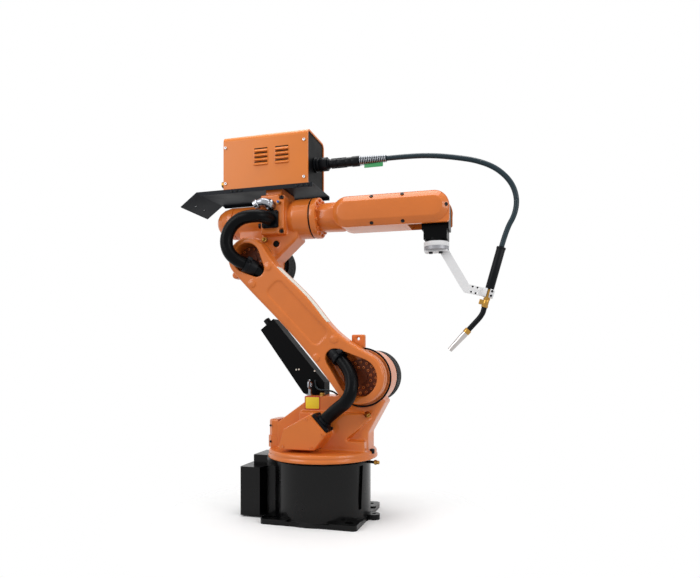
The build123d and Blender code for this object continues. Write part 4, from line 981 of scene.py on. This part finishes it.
@dataclass
class ArmParts:
    """Machined bosses on the lower arm's front, and the screw rings of its two gearbox flanges."""

    bench: Bench
    boss_size: tuple = (0.0112, 0.0048, 48, 0.0007)
    boss_foot: float = -0.1165
    bosses: tuple[tuple[float, float], ...] = ((0.144, 0.030), (0.144, -0.056), (0.485, 0.034), (0.485, -0.046))
    bolt_face: float = -0.0758
    disc_face: float = -0.0718
    outer_rings: tuple[tuple[float, float, int], ...] = ((0.0, 0.051, 16), (0.567, 0.037, 12))
    inner_ring: tuple[float, float, int] = (0.0, 0.0345, 12)
    inner_rise: float = 0.0024
    head_sides: int = 20
    head_edge: float = 0.0003
    # Orange screw heads, each with a smaller black disc on top: painted shade of its socket.
    heads: tuple[tuple[str, float, float, str], ...] = (
        ("screws", 0.0043, 0.0014, "arm_orange"), ("socket_shades", 0.0022, 0.0017, "seal_black"))

    def spot(self, along: float, across: float, depth: float) -> Matrix:
        """Seat on the arm, facing the front.

        Args:
            along: Distance from the shoulder's axis along the arm.
            across: Distance to the arm's upper side.
            depth: Y of the seat.

        Returns:
            The matrix for a piece that stands there.
        """
        x = SHOULDER.x - along * math.sin(ARM_LEAN) + across * math.cos(ARM_LEAN)
        z = SHOULDER.z + along * math.cos(ARM_LEAN) + across * math.sin(ARM_LEAN)
        return seat((x, depth, z), FRONT)

    def ring(self, centre: float, radius: float, count: int, depth: float) -> list[Matrix]:
        """Seats on a circle round one end of the arm.

        Args:
            centre: Distance of the circle's centre from the shoulder's axis.
            radius: Radius of the circle.
            count: Number of seats.
            depth: Y of the seats.

        Returns:
            One matrix for each seat.
        """
        turns = [2.0 * math.pi * k / count for k in range(count)]
        return [self.spot(centre + radius * math.cos(t), radius * math.sin(t), depth) for t in turns]

    def build(self) -> None:
        """Make the bosses, and the screws of both flanges, each with a black disc on top as painted shade of its
        socket.
        """
        self.bench.settle("lower_arm_bosses", "lower_arm", "arm_orange", self.bench.disc(*self.boss_size),
                          [self.spot(along, across, self.boss_foot) for along, across in self.bosses])
        outer = [place for ring in self.outer_rings for place in self.ring(*ring, self.bolt_face)]
        inner = self.ring(*self.inner_ring, self.disc_face)
        for part, radius, height, slot in self.heads:
            rings = [self.bench.repeat(self.bench.disc(radius, tall, self.head_sides, self.head_edge), seats)
                     for tall, seats in ((height, outer), (height + self.inner_rise, inner))]
            self.bench.settle(f"flange_{part}", "lower_arm", slot, self.bench.join(rings))


@dataclass
class TurretParts:
    """Screws, fittings and the plain tag on the turret."""

    bench: Bench
    fittings: tuple[Fitting, ...] = (
        Fitting("housing_cover_screws", "arm_orange", "screw", (0.0045, 0.003),
                ((-0.006, -0.152, 0.348), (0.048, -0.152, 0.299), (0.013, -0.152, 0.255), (-0.088, -0.152, 0.258))),
        Fitting("motor_cover_screws", "screw_dark", "screw", (0.004, 0.003),
                ((-0.176, -0.050, 0.256), (-0.176, -0.050, 0.312))),
        # White discs on the utility box: its screw heads, their white a painted glint.
        Fitting("utility_box_screw_glints", "strip_white", "disc", (0.0030, 0.0016, 24, 0.0004),
                ((-0.101, 0.0022, 0.506), (-0.091, 0.0022, 0.507), (-0.032, 0.0022, 0.502))),
        Fitting("turret_tag", "tag_yellow", "plate", ((0.049, 0.039, 0.0008), 0.003, 0.0002),
                ((-0.021, -0.052, 0.394),)),
        Fitting("turret_tag_border", "tag_red", "plate", ((0.056, 0.046, 0.0005), 0.004, 0.0001),
                ((-0.021, -0.052, 0.394),)),
    )
    gland_face: Vector = field(default_factory=lambda: Vector((0.031, -0.108, 0.3315)))
    gland_normal: Point = (0.741, 0.0, 0.6715)
    gland_rise: float = 0.009
    gland_reach: tuple[float, float] = (0.024, 0.032)
    gland_screw: tuple[float, float] = (0.004, 0.0035)
    rim_angle: float = math.radians(-8.0)
    stop_radius: float = 0.185
    stop_size: tuple = (0.008, 0.016, 24, 0.0015)
    rim_top: float = 0.226
    column_radius: float = 0.1655
    fitting_z: float = 0.1975
    stub_radius: float = 0.0048
    stub_length: float = 0.0275
    fitting_steps: tuple[tuple, ...] = ((0.0, 0.0085, 0.008, 6, 0.0006), (0.008, 0.0060, 0.009, 20, 0.001))
    seal_radius: float = 0.0965
    seal_half: float = 0.0030
    seal_y: float = -0.0585
    plug_steps: tuple[tuple, ...] = ((0.0, 0.011, 0.004, 32, 0.0008), (0.004, 0.0090, 0.007, 6, 0.0006))
    plug_seats: tuple[tuple[Point, Point], ...] = (
        ((0.012, -0.042, 0.4175), UP), ((0.180, -0.074, 0.360), (0.0, -0.75, 0.66)))
    cable_route: tuple[Point, ...] = ((-0.030, 0.004, 0.470), (-0.028, -0.006, 0.448), (-0.010, -0.014, 0.436),
                                      (0.020, -0.014, 0.436), (0.044, -0.004, 0.430), (0.052, 0.012, 0.416))
    cable_radius: float = 0.0032

    def build(self) -> None:
        """Make every small part of the turret."""
        self.bench.fit("turret", self.fittings)
        normal = Vector(self.gland_normal).normalized()
        slope = normal.cross(Vector((0.0, 1.0, 0.0)))
        face = self.gland_face + normal * self.gland_rise
        corners = [face + Vector((0.0, a * self.gland_reach[0], 0.0)) + slope * (b * self.gland_reach[1])
                   for a in (-1, 1) for b in (-1, 1)]
        self.bench.settle("gland_screws", "turret", "screw_dark", self.bench.screw(*self.gland_screw),
                          [seat(corner, normal) for corner in corners])
        self.rim_parts()
        seal = self.bench.start("torus", major_radius=self.seal_radius, minor_radius=self.seal_half,
                                major_segments=96, minor_segments=12)
        self.bench.settle("shoulder_joint_line", "turret", "seal_black", seal,
                          [seat((SHOULDER.x, self.seal_y, SHOULDER.z), FRONT)])
        plugs = [self.bench.turned(self.plug_steps, place, normal) for place, normal in self.plug_seats]
        self.bench.settle("oil_plug_heads", "turret", "fitting_brass", self.bench.join(plugs),
                          stands_for="oil_plugs")
        cable = tube_mesh("utility_cable", even_line(self.cable_route, 0.003), lambda along: self.cable_radius, 16)
        self.bench.settle("utility_cable", "turret", "cable_black", cable)

    def rim_parts(self) -> None:
        """Black stop on the turning rim, and the brass grease fitting on the base below it."""
        outward = Vector((math.cos(self.rim_angle), math.sin(self.rim_angle), 0.0))
        self.bench.settle("rim_stop", "turret", "torch_black", self.bench.disc(*self.stop_size),
                          [seat(outward * self.stop_radius + Vector((0.0, 0.0, self.rim_top)), UP)])
        root = outward * self.column_radius + Vector((0.0, 0.0, self.fitting_z))
        self.bench.settle("grease_fitting_stub", "base", "base_black",
                          self.bench.disc(self.stub_radius, self.stub_length, 24, 0.0006), [seat(root, outward)])
        self.bench.settle("grease_fitting", "base", "fitting_brass",
                          self.bench.turned(self.fitting_steps, root + outward * self.stub_length, outward))


@dataclass
class ElbowParts:
    """Fittings on the connection block and the elbow."""

    bench: Bench
    fittings: tuple[Fitting, ...] = (
        Fitting("conduit_flange_screws", "screw_dark", "screw", (0.0042, 0.004),
                ((-0.1895, -0.082, 1.0017), (-0.1895, -0.082, 1.0487),
                 (-0.1425, -0.082, 1.0017), (-0.1425, -0.082, 1.0487))),
        Fitting("block_bolts", "screw_dark", "screw", (0.0065, 0.007),
                ((-0.127, -0.065, 1.101), (-0.127, -0.065, 0.984))),
        Fitting("air_release_ring", "ring_blue", "disc", (0.0045, 0.004, 24, 0.0008), ((-0.133, -0.087, 1.0812),)),
        Fitting("block_plug", "torch_black", "disc", (0.009, 0.012, 24, 0.0015), ((-0.204, -0.060, 1.009),), REAR),
        Fitting("elbow_grease_fitting", "fitting_brass", "screw", (0.0085, 0.022), ((-0.194, -0.052, 0.960),),
                (0.15, -1.0, -0.1)),
        Fitting("web_hole_plug", "seal_black", "disc", (0.0108, 0.004, 32, 0.0006), ((-0.159, -0.040, 0.9472),)),
    )
    cap_radius: float = 0.057
    cap_place: Point = (-0.3262, 0.0, 1.0362)
    cap_drum: float = 0.018
    cap_steps: tuple[tuple[float, float], ...] = ((0.022, 0.90), (0.018, 0.80), (0.010, 0.72))
    connector_route: tuple[Point, ...] = ((-0.162, -0.072, 1.0722), (-0.162, -0.096, 1.073),
                                          (-0.177, -0.101, 1.079), (-0.198, -0.101, 1.078), (-0.213, -0.101, 1.069))
    connector_radius: float = 0.0135
    bulge: float = 0.002
    nut_rise: float = 0.0035
    nut_shares: tuple[float, float] = (0.30, 0.80)
    groove_depth: float = 0.0012
    groove_shares: tuple[float, float] = (0.32, 0.78)
    groove_half: float = 0.02

    def build(self) -> None:
        """Make every small part of the elbow."""
        self.bench.fit("elbow", self.fittings)
        self.rear_cap()
        self.connector()

    def rear_cap(self) -> None:
        """Domed cap over the motor at the rear end: a short drum that narrows in three steps."""
        cap = self.bench.disc(self.cap_radius, self.cap_drum, 96, 0.0008)
        height = self.cap_drum
        for rise, scale in self.cap_steps:
            top = height
            self.bench.pick(cap, lambda face: face.normal.z > 0.99 and face.center.z > top - 0.0002)
            bpy.ops.mesh.extrude_region_move(TRANSFORM_OT_translate={"value": (0.0, 0.0, rise)})
            bpy.ops.transform.resize(value=(scale, scale, 1.0), center_override=(0.0, 0.0, 0.0))
            bpy.ops.object.mode_set(mode="OBJECT")
            height += rise
        self.bench.soften(cap, 0.003, 3, limit=15.0)
        self.bench.settle("rear_motor_cap", "elbow", "arm_orange", cap, [seat(self.cap_place, REAR)],
                          "axis4_motor_cover")

    def connector(self) -> None:
        """Bent zinc connector with a bulging elbow and a ribbed nut at each end."""
        line = even_line(self.connector_route, 0.0008)
        reach = distances(line)[-1]

        def radius(along: float) -> float:
            """Outer radius along the connector."""
            share = along / reach
            nut = 0.0 if self.nut_shares[0] <= share <= self.nut_shares[1] else self.nut_rise
            sunk = any(abs(share - middle) < self.groove_half for middle in self.groove_shares)
            swell = self.bulge * math.sin(math.pi * share)
            return self.connector_radius + nut + swell - (self.groove_depth if sunk else 0.0)

        self.bench.settle("angled_connector_body", "elbow", "fitting_zinc",
                          tube_mesh("angled_connector_body", line, radius), stands_for="angled_connector")


@dataclass
class FeederParts:
    """Screws of the feeder and its tray, its louvres, and the torch plug with its spring and tag."""

    bench: Bench
    fittings: tuple[Fitting, ...] = (
        Fitting("feeder_screws", "screw_bright", "screw", (0.005, 0.0035),
                ((-0.338, -0.074, 1.289), (-0.043, -0.074, 1.289), (-0.043, -0.074, 1.163), (-0.338, -0.074, 1.163))),
        Fitting("tray_bolts", "screw_dark", "screw", (0.004, 0.003),
                tuple((x, -0.078, 1.134) for x in (-0.313, -0.295, -0.277, -0.068, -0.048, -0.028))),
        Fitting("torch_line_tag", "tag_green", "plate", ((0.066, 0.014, 0.0012), 0.002, 0.0003),
                ((0.180, 0.006, 1.2065),)),
    )
    front_y: float = -0.074
    line_y: float = 0.008
    line_z: float = 1.226
    spring_start: float = 0.130
    spring_end: float = 0.224
    spring_turns: int = 15
    spring_reach: tuple[float, float] = (0.0142, 0.0108)
    wire: float = 0.0019
    core_radius: float = 0.0105
    louvre_columns: tuple[float, float] = (-0.2026, -0.1246)
    louvre_middle: float = 1.247
    louvre_pitch: float = 0.0154
    louvre_size: Point = (0.051, 0.0098, 0.0058)
    louvre_drop: float = 0.0015
    # Size of the black plate that is painted shade in each louvre opening.
    gap_height: float = 0.0038
    gap_thickness: float = 0.0012
    field_margin: float = 0.006
    field_thickness: float = 0.0004
    plug_steps: tuple[tuple[float, float, float], ...] = (
        (-0.0325, 0.0260, 0.006), (-0.0265, 0.0225, 0.012), (-0.0145, 0.0235, 0.030), (0.0155, 0.0175, 0.006),
        (0.0215, 0.0150, 0.026), (0.0475, 0.0162, 0.004), (0.0515, 0.0150, 0.030), (0.0815, 0.0158, 0.022),
        (0.1035, 0.0175, 0.026))
    plug_ribs: int = 4
    rib_size: Point = (0.056, 0.004, 0.003)
    rib_middle: float = 0.056
    rib_radius: float = 0.014
    rib_first: float = 20.0

    def build(self) -> None:
        """Make every small part of the feeder."""
        self.bench.fit("elbow", self.fittings)
        self.louvres()
        self.plug()
        self.spring()

    def louvres(self) -> None:
        """Two columns of pressed louvres, each a black plate as painted shade in its opening over a sloped lip, on
        their plain field.
        """
        length, height, depth = self.louvre_size
        lip = self.bench.start("cube", size=1.0)
        lip.scale = (length, depth, height)
        bpy.ops.object.transform_apply(scale=True)
        for corner in lip.data.vertices:
            if corner.co.y < 0.0:
                corner.co.x *= 0.90
                corner.co.y += depth * 0.92 if corner.co.z > 0.0 else 0.0
        self.bench.soften(lip, 0.0011, 3)
        # Black plate in each louvre's opening: painted shade of the opening, not a part of the feeder.
        gap = self.bench.plate((length * 0.96, self.gap_height, self.gap_thickness), 0.0012, 0.0002)
        sheet = self.bench.plate((length + self.field_margin, 4.0 * self.louvre_pitch, self.field_thickness),
                                 0.004, 0.0001)
        spots = [(x, self.louvre_middle + (row - 1.5) * self.louvre_pitch)
                 for x in self.louvre_columns for row in range(4)]
        lip_seats = [(x, self.front_y - depth / 2.0, z - self.louvre_drop) for x, z in spots]
        self.bench.settle("feeder_louvres", "elbow", "feeder_orange", lip,
                          [Matrix.Translation(place) for place in lip_seats])
        self.bench.settle("feeder_louvre_gap_shade", "elbow", "seal_black", gap,
                          [seat((x, self.front_y - 0.0002, z + height / 2.0 - 0.0004), FRONT) for x, z in spots])
        self.bench.settle("feeder_louvre_fields", "elbow", "feeder_orange", sheet,
                          [seat((x, self.front_y + 0.0001, self.louvre_middle), FRONT) for x in self.louvre_columns])

    def plug(self) -> None:
        """Torch plug in its socket: stepped rings, a slim body with grip ribs and a thick collar."""
        steps = [(start, radius, length, 48, 0.0010) for start, radius, length in self.plug_steps]
        rings = self.bench.turned(steps, (0.0, self.line_y, self.line_z), AHEAD)
        middle = Matrix.Translation((self.rib_middle, self.line_y, self.line_z))
        out = Matrix.Translation((0.0, 0.0, self.rib_radius))
        turns = [Matrix.Rotation(math.radians(360.0 * i / self.plug_ribs + self.rib_first), 4, "X")
                 for i in range(self.plug_ribs)]
        ribs = self.bench.repeat(self.bench.plate(self.rib_size, 0.0015, 0.0006),
                                 [middle @ turn @ out for turn in turns])
        self.bench.settle("torch_plug", "elbow", "torch_black", self.bench.join([rings, ribs]),
                          stands_for="torch_connector")
        core = self.bench.disc(self.core_radius, self.spring_end - self.spring_start + 0.002, 32, 0.001)
        self.bench.settle("torch_relief_core", "elbow", "cable_black", core,
                          [seat((self.spring_start - 0.001, self.line_y, self.line_z), AHEAD)], "torch_strain_relief")

    def spring(self) -> None:
        """Bright wire spring wound over the tapered relief of the torch cable."""
        line = []
        count = self.spring_turns * 20
        for i in range(count + 1):
            share = i / count
            turn = 2.0 * math.pi * self.spring_turns * share
            reach = self.spring_reach[0] + (self.spring_reach[1] - self.spring_reach[0]) * share
            line.append(Vector((self.spring_start + (self.spring_end - self.spring_start) * share,
                                self.line_y + reach * math.cos(turn), self.line_z + reach * math.sin(turn))))
        self.bench.settle("torch_relief_spring", "elbow", "fitting_zinc",
                          tube_mesh("torch_relief_spring", line, lambda along: self.wire, 8))


@dataclass
class Forearm:
    """Forearm: bolted flange, eight-sided neck, long round-ended body, sloped cover and sunk screws."""

    bench: Bench
    axis_z: float = 1.0362
    left_x: float = 0.104
    right_x: float = 0.3924
    end_radius: float = 0.0515
    rise: float = -0.0015
    front_y: float = -0.060
    back_y: float = 0.064
    back_round: float = 0.024
    cover_depth: float = 0.0145
    cover_slope: float = 0.0205
    corner_stretch: float = 1.34
    slot_half: float = 0.047
    slot_top_x: float = 0.338
    slot_low_x: float = 0.300
    slot_right_x: float = 0.50
    slot_reach: float = 0.08
    neck_start: float = -0.012
    neck_end: float = 0.080
    neck_radius: float = 0.0475
    neck_flare: tuple[float, float] = (1.12, 1.04)
    neck_edge: float = 0.009
    flange_start: float = -0.0283
    flange_length: float = 0.0205
    flange_radius: float = 0.070
    bolt_circle: float = 0.0595
    bolt_count: int = 12
    bolt_size: tuple[float, float] = (0.0058, 0.006)
    screw_size: tuple[float, float] = (0.0062, 0.0022)
    screw_slope: tuple[float, float] = (0.69, -0.72)
    end_screw_reach: float = 0.0425
    screw_y: float = -0.0655
    screw_places: tuple[tuple[float, float], ...] = (
        (0.190, 0.0435), (0.293, 0.0435), (0.191, -0.0435), (0.295, -0.0435))

    def build(self) -> None:
        """Make the forearm's casting, its cover and its screws."""
        body = self.long_round(self.end_radius, self.front_y, self.back_y)
        for corner in body.data.vertices:
            if corner.co.x > self.right_x and corner.co.z < self.axis_z:
                reach = Vector((corner.co.x - self.right_x, self.axis_z + self.rise - corner.co.z))
                grown = min(self.corner_stretch, self.end_radius / max(abs(reach.x), abs(reach.y), 1e-6))
                corner.co.x = self.right_x + reach.x * grown
                corner.co.z = self.axis_z + self.rise - reach.y * grown
        self.bench.pick(body, lambda face: face.normal.y > 0.99)
        bpy.ops.mesh.bevel(offset=self.back_round, segments=6, affect="EDGES")
        bpy.ops.object.mode_set(mode="OBJECT")
        self.cut_slot(body)
        flange = self.bench.disc(self.flange_radius, self.flange_length, 96, 0.0016)
        self.bench.place(flange, seat((self.flange_start, 0.0, self.axis_z), AHEAD))
        turns = [2.0 * math.pi * (i + 0.5) / self.bolt_count for i in range(self.bolt_count)]
        bolts = [seat((self.flange_start + self.flange_length, self.bolt_circle * math.cos(turn),
                       self.axis_z + self.bolt_circle * math.sin(turn)), AHEAD) for turn in turns]
        heads = self.bench.repeat(self.bench.screw(*self.bolt_size), bolts)
        casting = self.bench.join([body, self.neck(), flange, heads])
        self.bench.alone(casting)
        bpy.ops.object.shade_smooth_by_angle(angle=math.radians(32.0))
        self.bench.settle("forearm_body", "forearm", "arm_orange", casting, stands_for="forearm_casting")
        self.cover()
        self.screws()

    def long_round(self, radius: float, front: float, back: float) -> bpy.types.Object:
        """Round-ended block along X: a drum whose right half is pulled out to the wrist.

        Args:
            radius: Radius of both ends.
            front: Y of its front face.
            back: Y of its back face.

        Returns:
            The block.
        """
        block = self.bench.start("cylinder", vertices=96, radius=radius, depth=back - front)
        self.bench.place(block, seat((0.0, (front + back) / 2.0, 0.0), (0.0, 1.0, 0.0)))
        bpy.ops.object.mode_set(mode="EDIT")
        bpy.ops.mesh.select_all(action="SELECT")
        bpy.ops.mesh.bisect(plane_co=(0.0, 0.0, 0.0), plane_no=(1.0, 0.0, 0.0))
        bpy.ops.object.mode_set(mode="OBJECT")
        for corner in block.data.vertices:
            right = corner.co.x > 1e-5
            corner.co.x += self.right_x if right else self.left_x
            corner.co.z += self.axis_z + (self.rise if right else 0.0)
        return block

    def cut_slot(self, body: bpy.types.Object) -> None:
        """Cut the fork that takes the wrist, open to the right and with a sloped end.

        Args:
            body: The forearm's body.
        """
        cutter = self.bench.start("cube", size=1.0)
        for corner in cutter.data.vertices:
            right, high = corner.co.x > 0.0, corner.co.z > 0.0
            left_x = self.slot_top_x if high else self.slot_low_x
            corner.co.x = self.slot_right_x if right else left_x
            corner.co.y = math.copysign(self.slot_half, corner.co.y)
            corner.co.z = self.axis_z + math.copysign(self.slot_reach, corner.co.z)
        self.bench.apply(body, "BOOLEAN", operation="DIFFERENCE", solver="EXACT", object=cutter)
        bpy.data.objects.remove(cutter)

    def neck(self) -> bpy.types.Object:
        """Eight-sided neck with soft edges, wider where it meets the body.

        Returns:
            The neck.
        """
        neck = self.bench.start("cylinder", vertices=8, radius=self.neck_radius / math.cos(math.pi / 8.0),
                                depth=self.neck_end - self.neck_start)
        middle = (self.neck_start + self.neck_end) / 2.0
        self.bench.place(neck, seat((middle, 0.0, self.axis_z), AHEAD, math.pi / 8.0))
        for corner in neck.data.vertices:
            if corner.co.x > middle:
                corner.co.y *= self.neck_flare[0]
                corner.co.z = self.axis_z + (corner.co.z - self.axis_z) * self.neck_flare[1]
        self.bench.soften(neck, self.neck_edge, 4)
        return neck

    def cover(self) -> None:
        """Cover plate over the belts: its rim slopes in to a flat, softly edged front."""
        face_y = self.front_y - self.cover_depth
        plate = self.long_round(self.end_radius - 0.0006, face_y, self.front_y - 0.0003)
        middle_x = (self.left_x + self.right_x) / 2.0
        shrink = 1.0 - self.cover_slope / self.end_radius
        for corner in plate.data.vertices:
            if corner.co.y > face_y + 1e-5:
                continue
            right = corner.co.x > middle_x
            centre_x = self.right_x if right else self.left_x
            centre_z = self.axis_z + (self.rise if right else 0.0)
            corner.co.x = centre_x + (corner.co.x - centre_x) * shrink
            corner.co.z = centre_z + (corner.co.z - centre_z) * shrink
        self.bench.soften(plate, 0.0024, 3, limit=20.0, smooth=20.0)
        self.bench.settle("forearm_cover_plate", "forearm", "arm_orange", plate, stands_for="forearm_cover")

    def screws(self) -> None:
        """Dark sunk screws in the slope of the cover."""
        side, front = self.screw_slope
        seats = [seat((x, self.screw_y, self.axis_z + z), (0.0, front, math.copysign(side, z)))
                 for x, z in self.screw_places]
        seats.append(seat((self.right_x + self.end_screw_reach, self.screw_y, self.axis_z), (side, front, 0.0)))
        self.bench.settle("forearm_cover_screws", "forearm", "screw_dark", self.bench.screw(*self.screw_size), seats)


@dataclass
class ToolParts:
    """Insulating disc, torch handle, split clamp, brass body, bent neck and gold ring of the torch."""

    bench: Bench
    fittings: tuple[Fitting, ...] = (
        Fitting("insulating_disc", "bracket_white", "disc", (0.0418, 0.0148, 64, 0.0015),
                ((0.3954, 0.0, 0.9132),), UP),
        Fitting("bracket_screws", "screw_dark", "disc", (0.0031, 0.0096, 16, 0.0004),
                tuple((x, 0.0048, z) for x, z in ((0.513, 0.779), (0.528, 0.775), (0.508, 0.762), (0.522, 0.757)))),
        Fitting("nozzle_ring", "fitting_brass", "disc", (0.0116, 0.015, 32, 0.001),
                ((0.500102, 0.0, 0.639615),), (-0.678, 0.0, -0.735)),
    )
    handle_top: Point = (0.603, 0.0, 0.902)
    handle_stop: Point = (0.566, 0.0, 0.769)
    handle_way: Point = (-0.268, 0.0, -0.9634)
    jaw_size: Point = (0.0126, 0.034, 0.027)
    jaw_reach: float = 0.0107
    block_size: Point = (0.022, 0.016, 0.016)
    block_shift: float = 0.038
    block_reach: float = -0.010
    clamp_screw: tuple[float, float] = (0.0038, 0.004)
    screw_shifts: tuple[float, float] = (0.006, 0.021)
    screw_reach: float = 0.0115
    screw_face: float = -0.017
    grip_radius: float = 0.0142
    collar_radius: float = 0.0150
    brass_steps: tuple[tuple, ...] = (
        (0.0005, 0.0092, 0.030, 32, 0.0006), (0.0300, 0.0110, 0.006, 6, 0.0006),
        (0.0360, 0.0098, 0.020, 32, 0.0006), (0.0540, 0.0110, 0.007, 6, 0.0006))
    neck_radius: float = 0.0088
    neck_route: tuple[Point, ...] = ((0.5525, 0.0, 0.7200), (0.5493, 0.0, 0.7093), (0.5430, 0.0, 0.6861),
                                     (0.5102, 0.0, 0.6505), (0.4940, 0.0, 0.6330))

    def build(self) -> None:
        """Make every small part of the tool."""
        self.bench.fit("tool", self.fittings)
        stop = Vector(self.handle_stop)
        way = Vector(self.handle_way).normalized()
        across = Vector((-way.z, 0.0, way.x))
        length = (stop - Vector(self.handle_top)).length
        steps = ((0.0, self.grip_radius, length - 0.0005, 48, 0.0012), (0.0, self.collar_radius, 0.007, 48, 0.0010))
        self.bench.settle("torch_handle_grip", "tool", "torch_black",
                          self.bench.turned(steps, self.handle_top, way), stands_for="torch_handle")
        self.clamp(stop, way, across)
        block = self.bench.plate(self.block_size, 0.002, 0.0008)
        middle = stop + way * self.block_shift + across * self.block_reach
        self.bench.place(block, Matrix.Translation(middle) @ turn_to(across, way))
        self.bench.settle("torch_brass_body", "tool", "fitting_brass",
                          self.bench.join([self.bench.turned(self.brass_steps, stop, way), block]))
        neck = tube_mesh("torch_neck_tube", even_line(self.neck_route, 0.002), lambda along: self.neck_radius)
        self.bench.settle("torch_neck_tube", "tool", "torch_black", neck, stands_for="torch_neck")

    def clamp(self, stop: Vector, way: Vector, across: Vector) -> None:
        """Split clamp: two jaws round the brass body, held by two black screws.

        Args:
            stop: Lower end of the handle.
            way: Direction of the torch line.
            across: Direction from the bracket to the open side of the clamp.
        """
        places = [Matrix.Translation(stop + across * reach) @ turn_to(across, way)
                  for reach in (-self.jaw_reach, self.jaw_reach)]
        self.bench.settle("torch_clamp_jaws", "tool", "bracket_white",
                          self.bench.plate(self.jaw_size, 0.0015, 0.0007), places, "torch_clamp")
        middle = stop + across * self.screw_reach + Vector((0.0, self.screw_face, 0.0))
        self.bench.settle("clamp_screws", "tool", "screw_dark", self.bench.screw(*self.clamp_screw),
                          [seat(middle + way * shift, FRONT) for shift in self.screw_shifts])


def dress_nodes(frame: dict, finishes: Finishes) -> None:
    """Give every CAD node its finish, by the name of the slot that it came with. The two pocket flanges get a darker
    orange instead, as painted shade of their pockets.

    Args:
        finishes: The object's finishes.
    """
    for node in frame["nodes"].values():
        slot = node.material_slots[0].material.name
        # The two pocket flanges get the darker orange: painted shade of their pockets.
        finishes.give(node, "flange_painted_shade" if node.name in PAINTED_SHADE_FLANGES else slot)


def main() -> None:
    """Build the studio, then dress the arm from its base to its torch."""
    logging.basicConfig(level=logging.INFO, format="%(message)s")
    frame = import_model()
    finishes = Finishes()
    bench = Bench(frame, finishes)
    Studio().build()
    dress_nodes(frame, finishes)
    for group in (Castings, ArmParts, TurretParts, ElbowParts, FeederParts, Forearm, ToolParts, TorchCable, Conduits):
        group(bench).build()
        log.info("%s done", group.__name__)


if __name__ == "__main__":
    main()
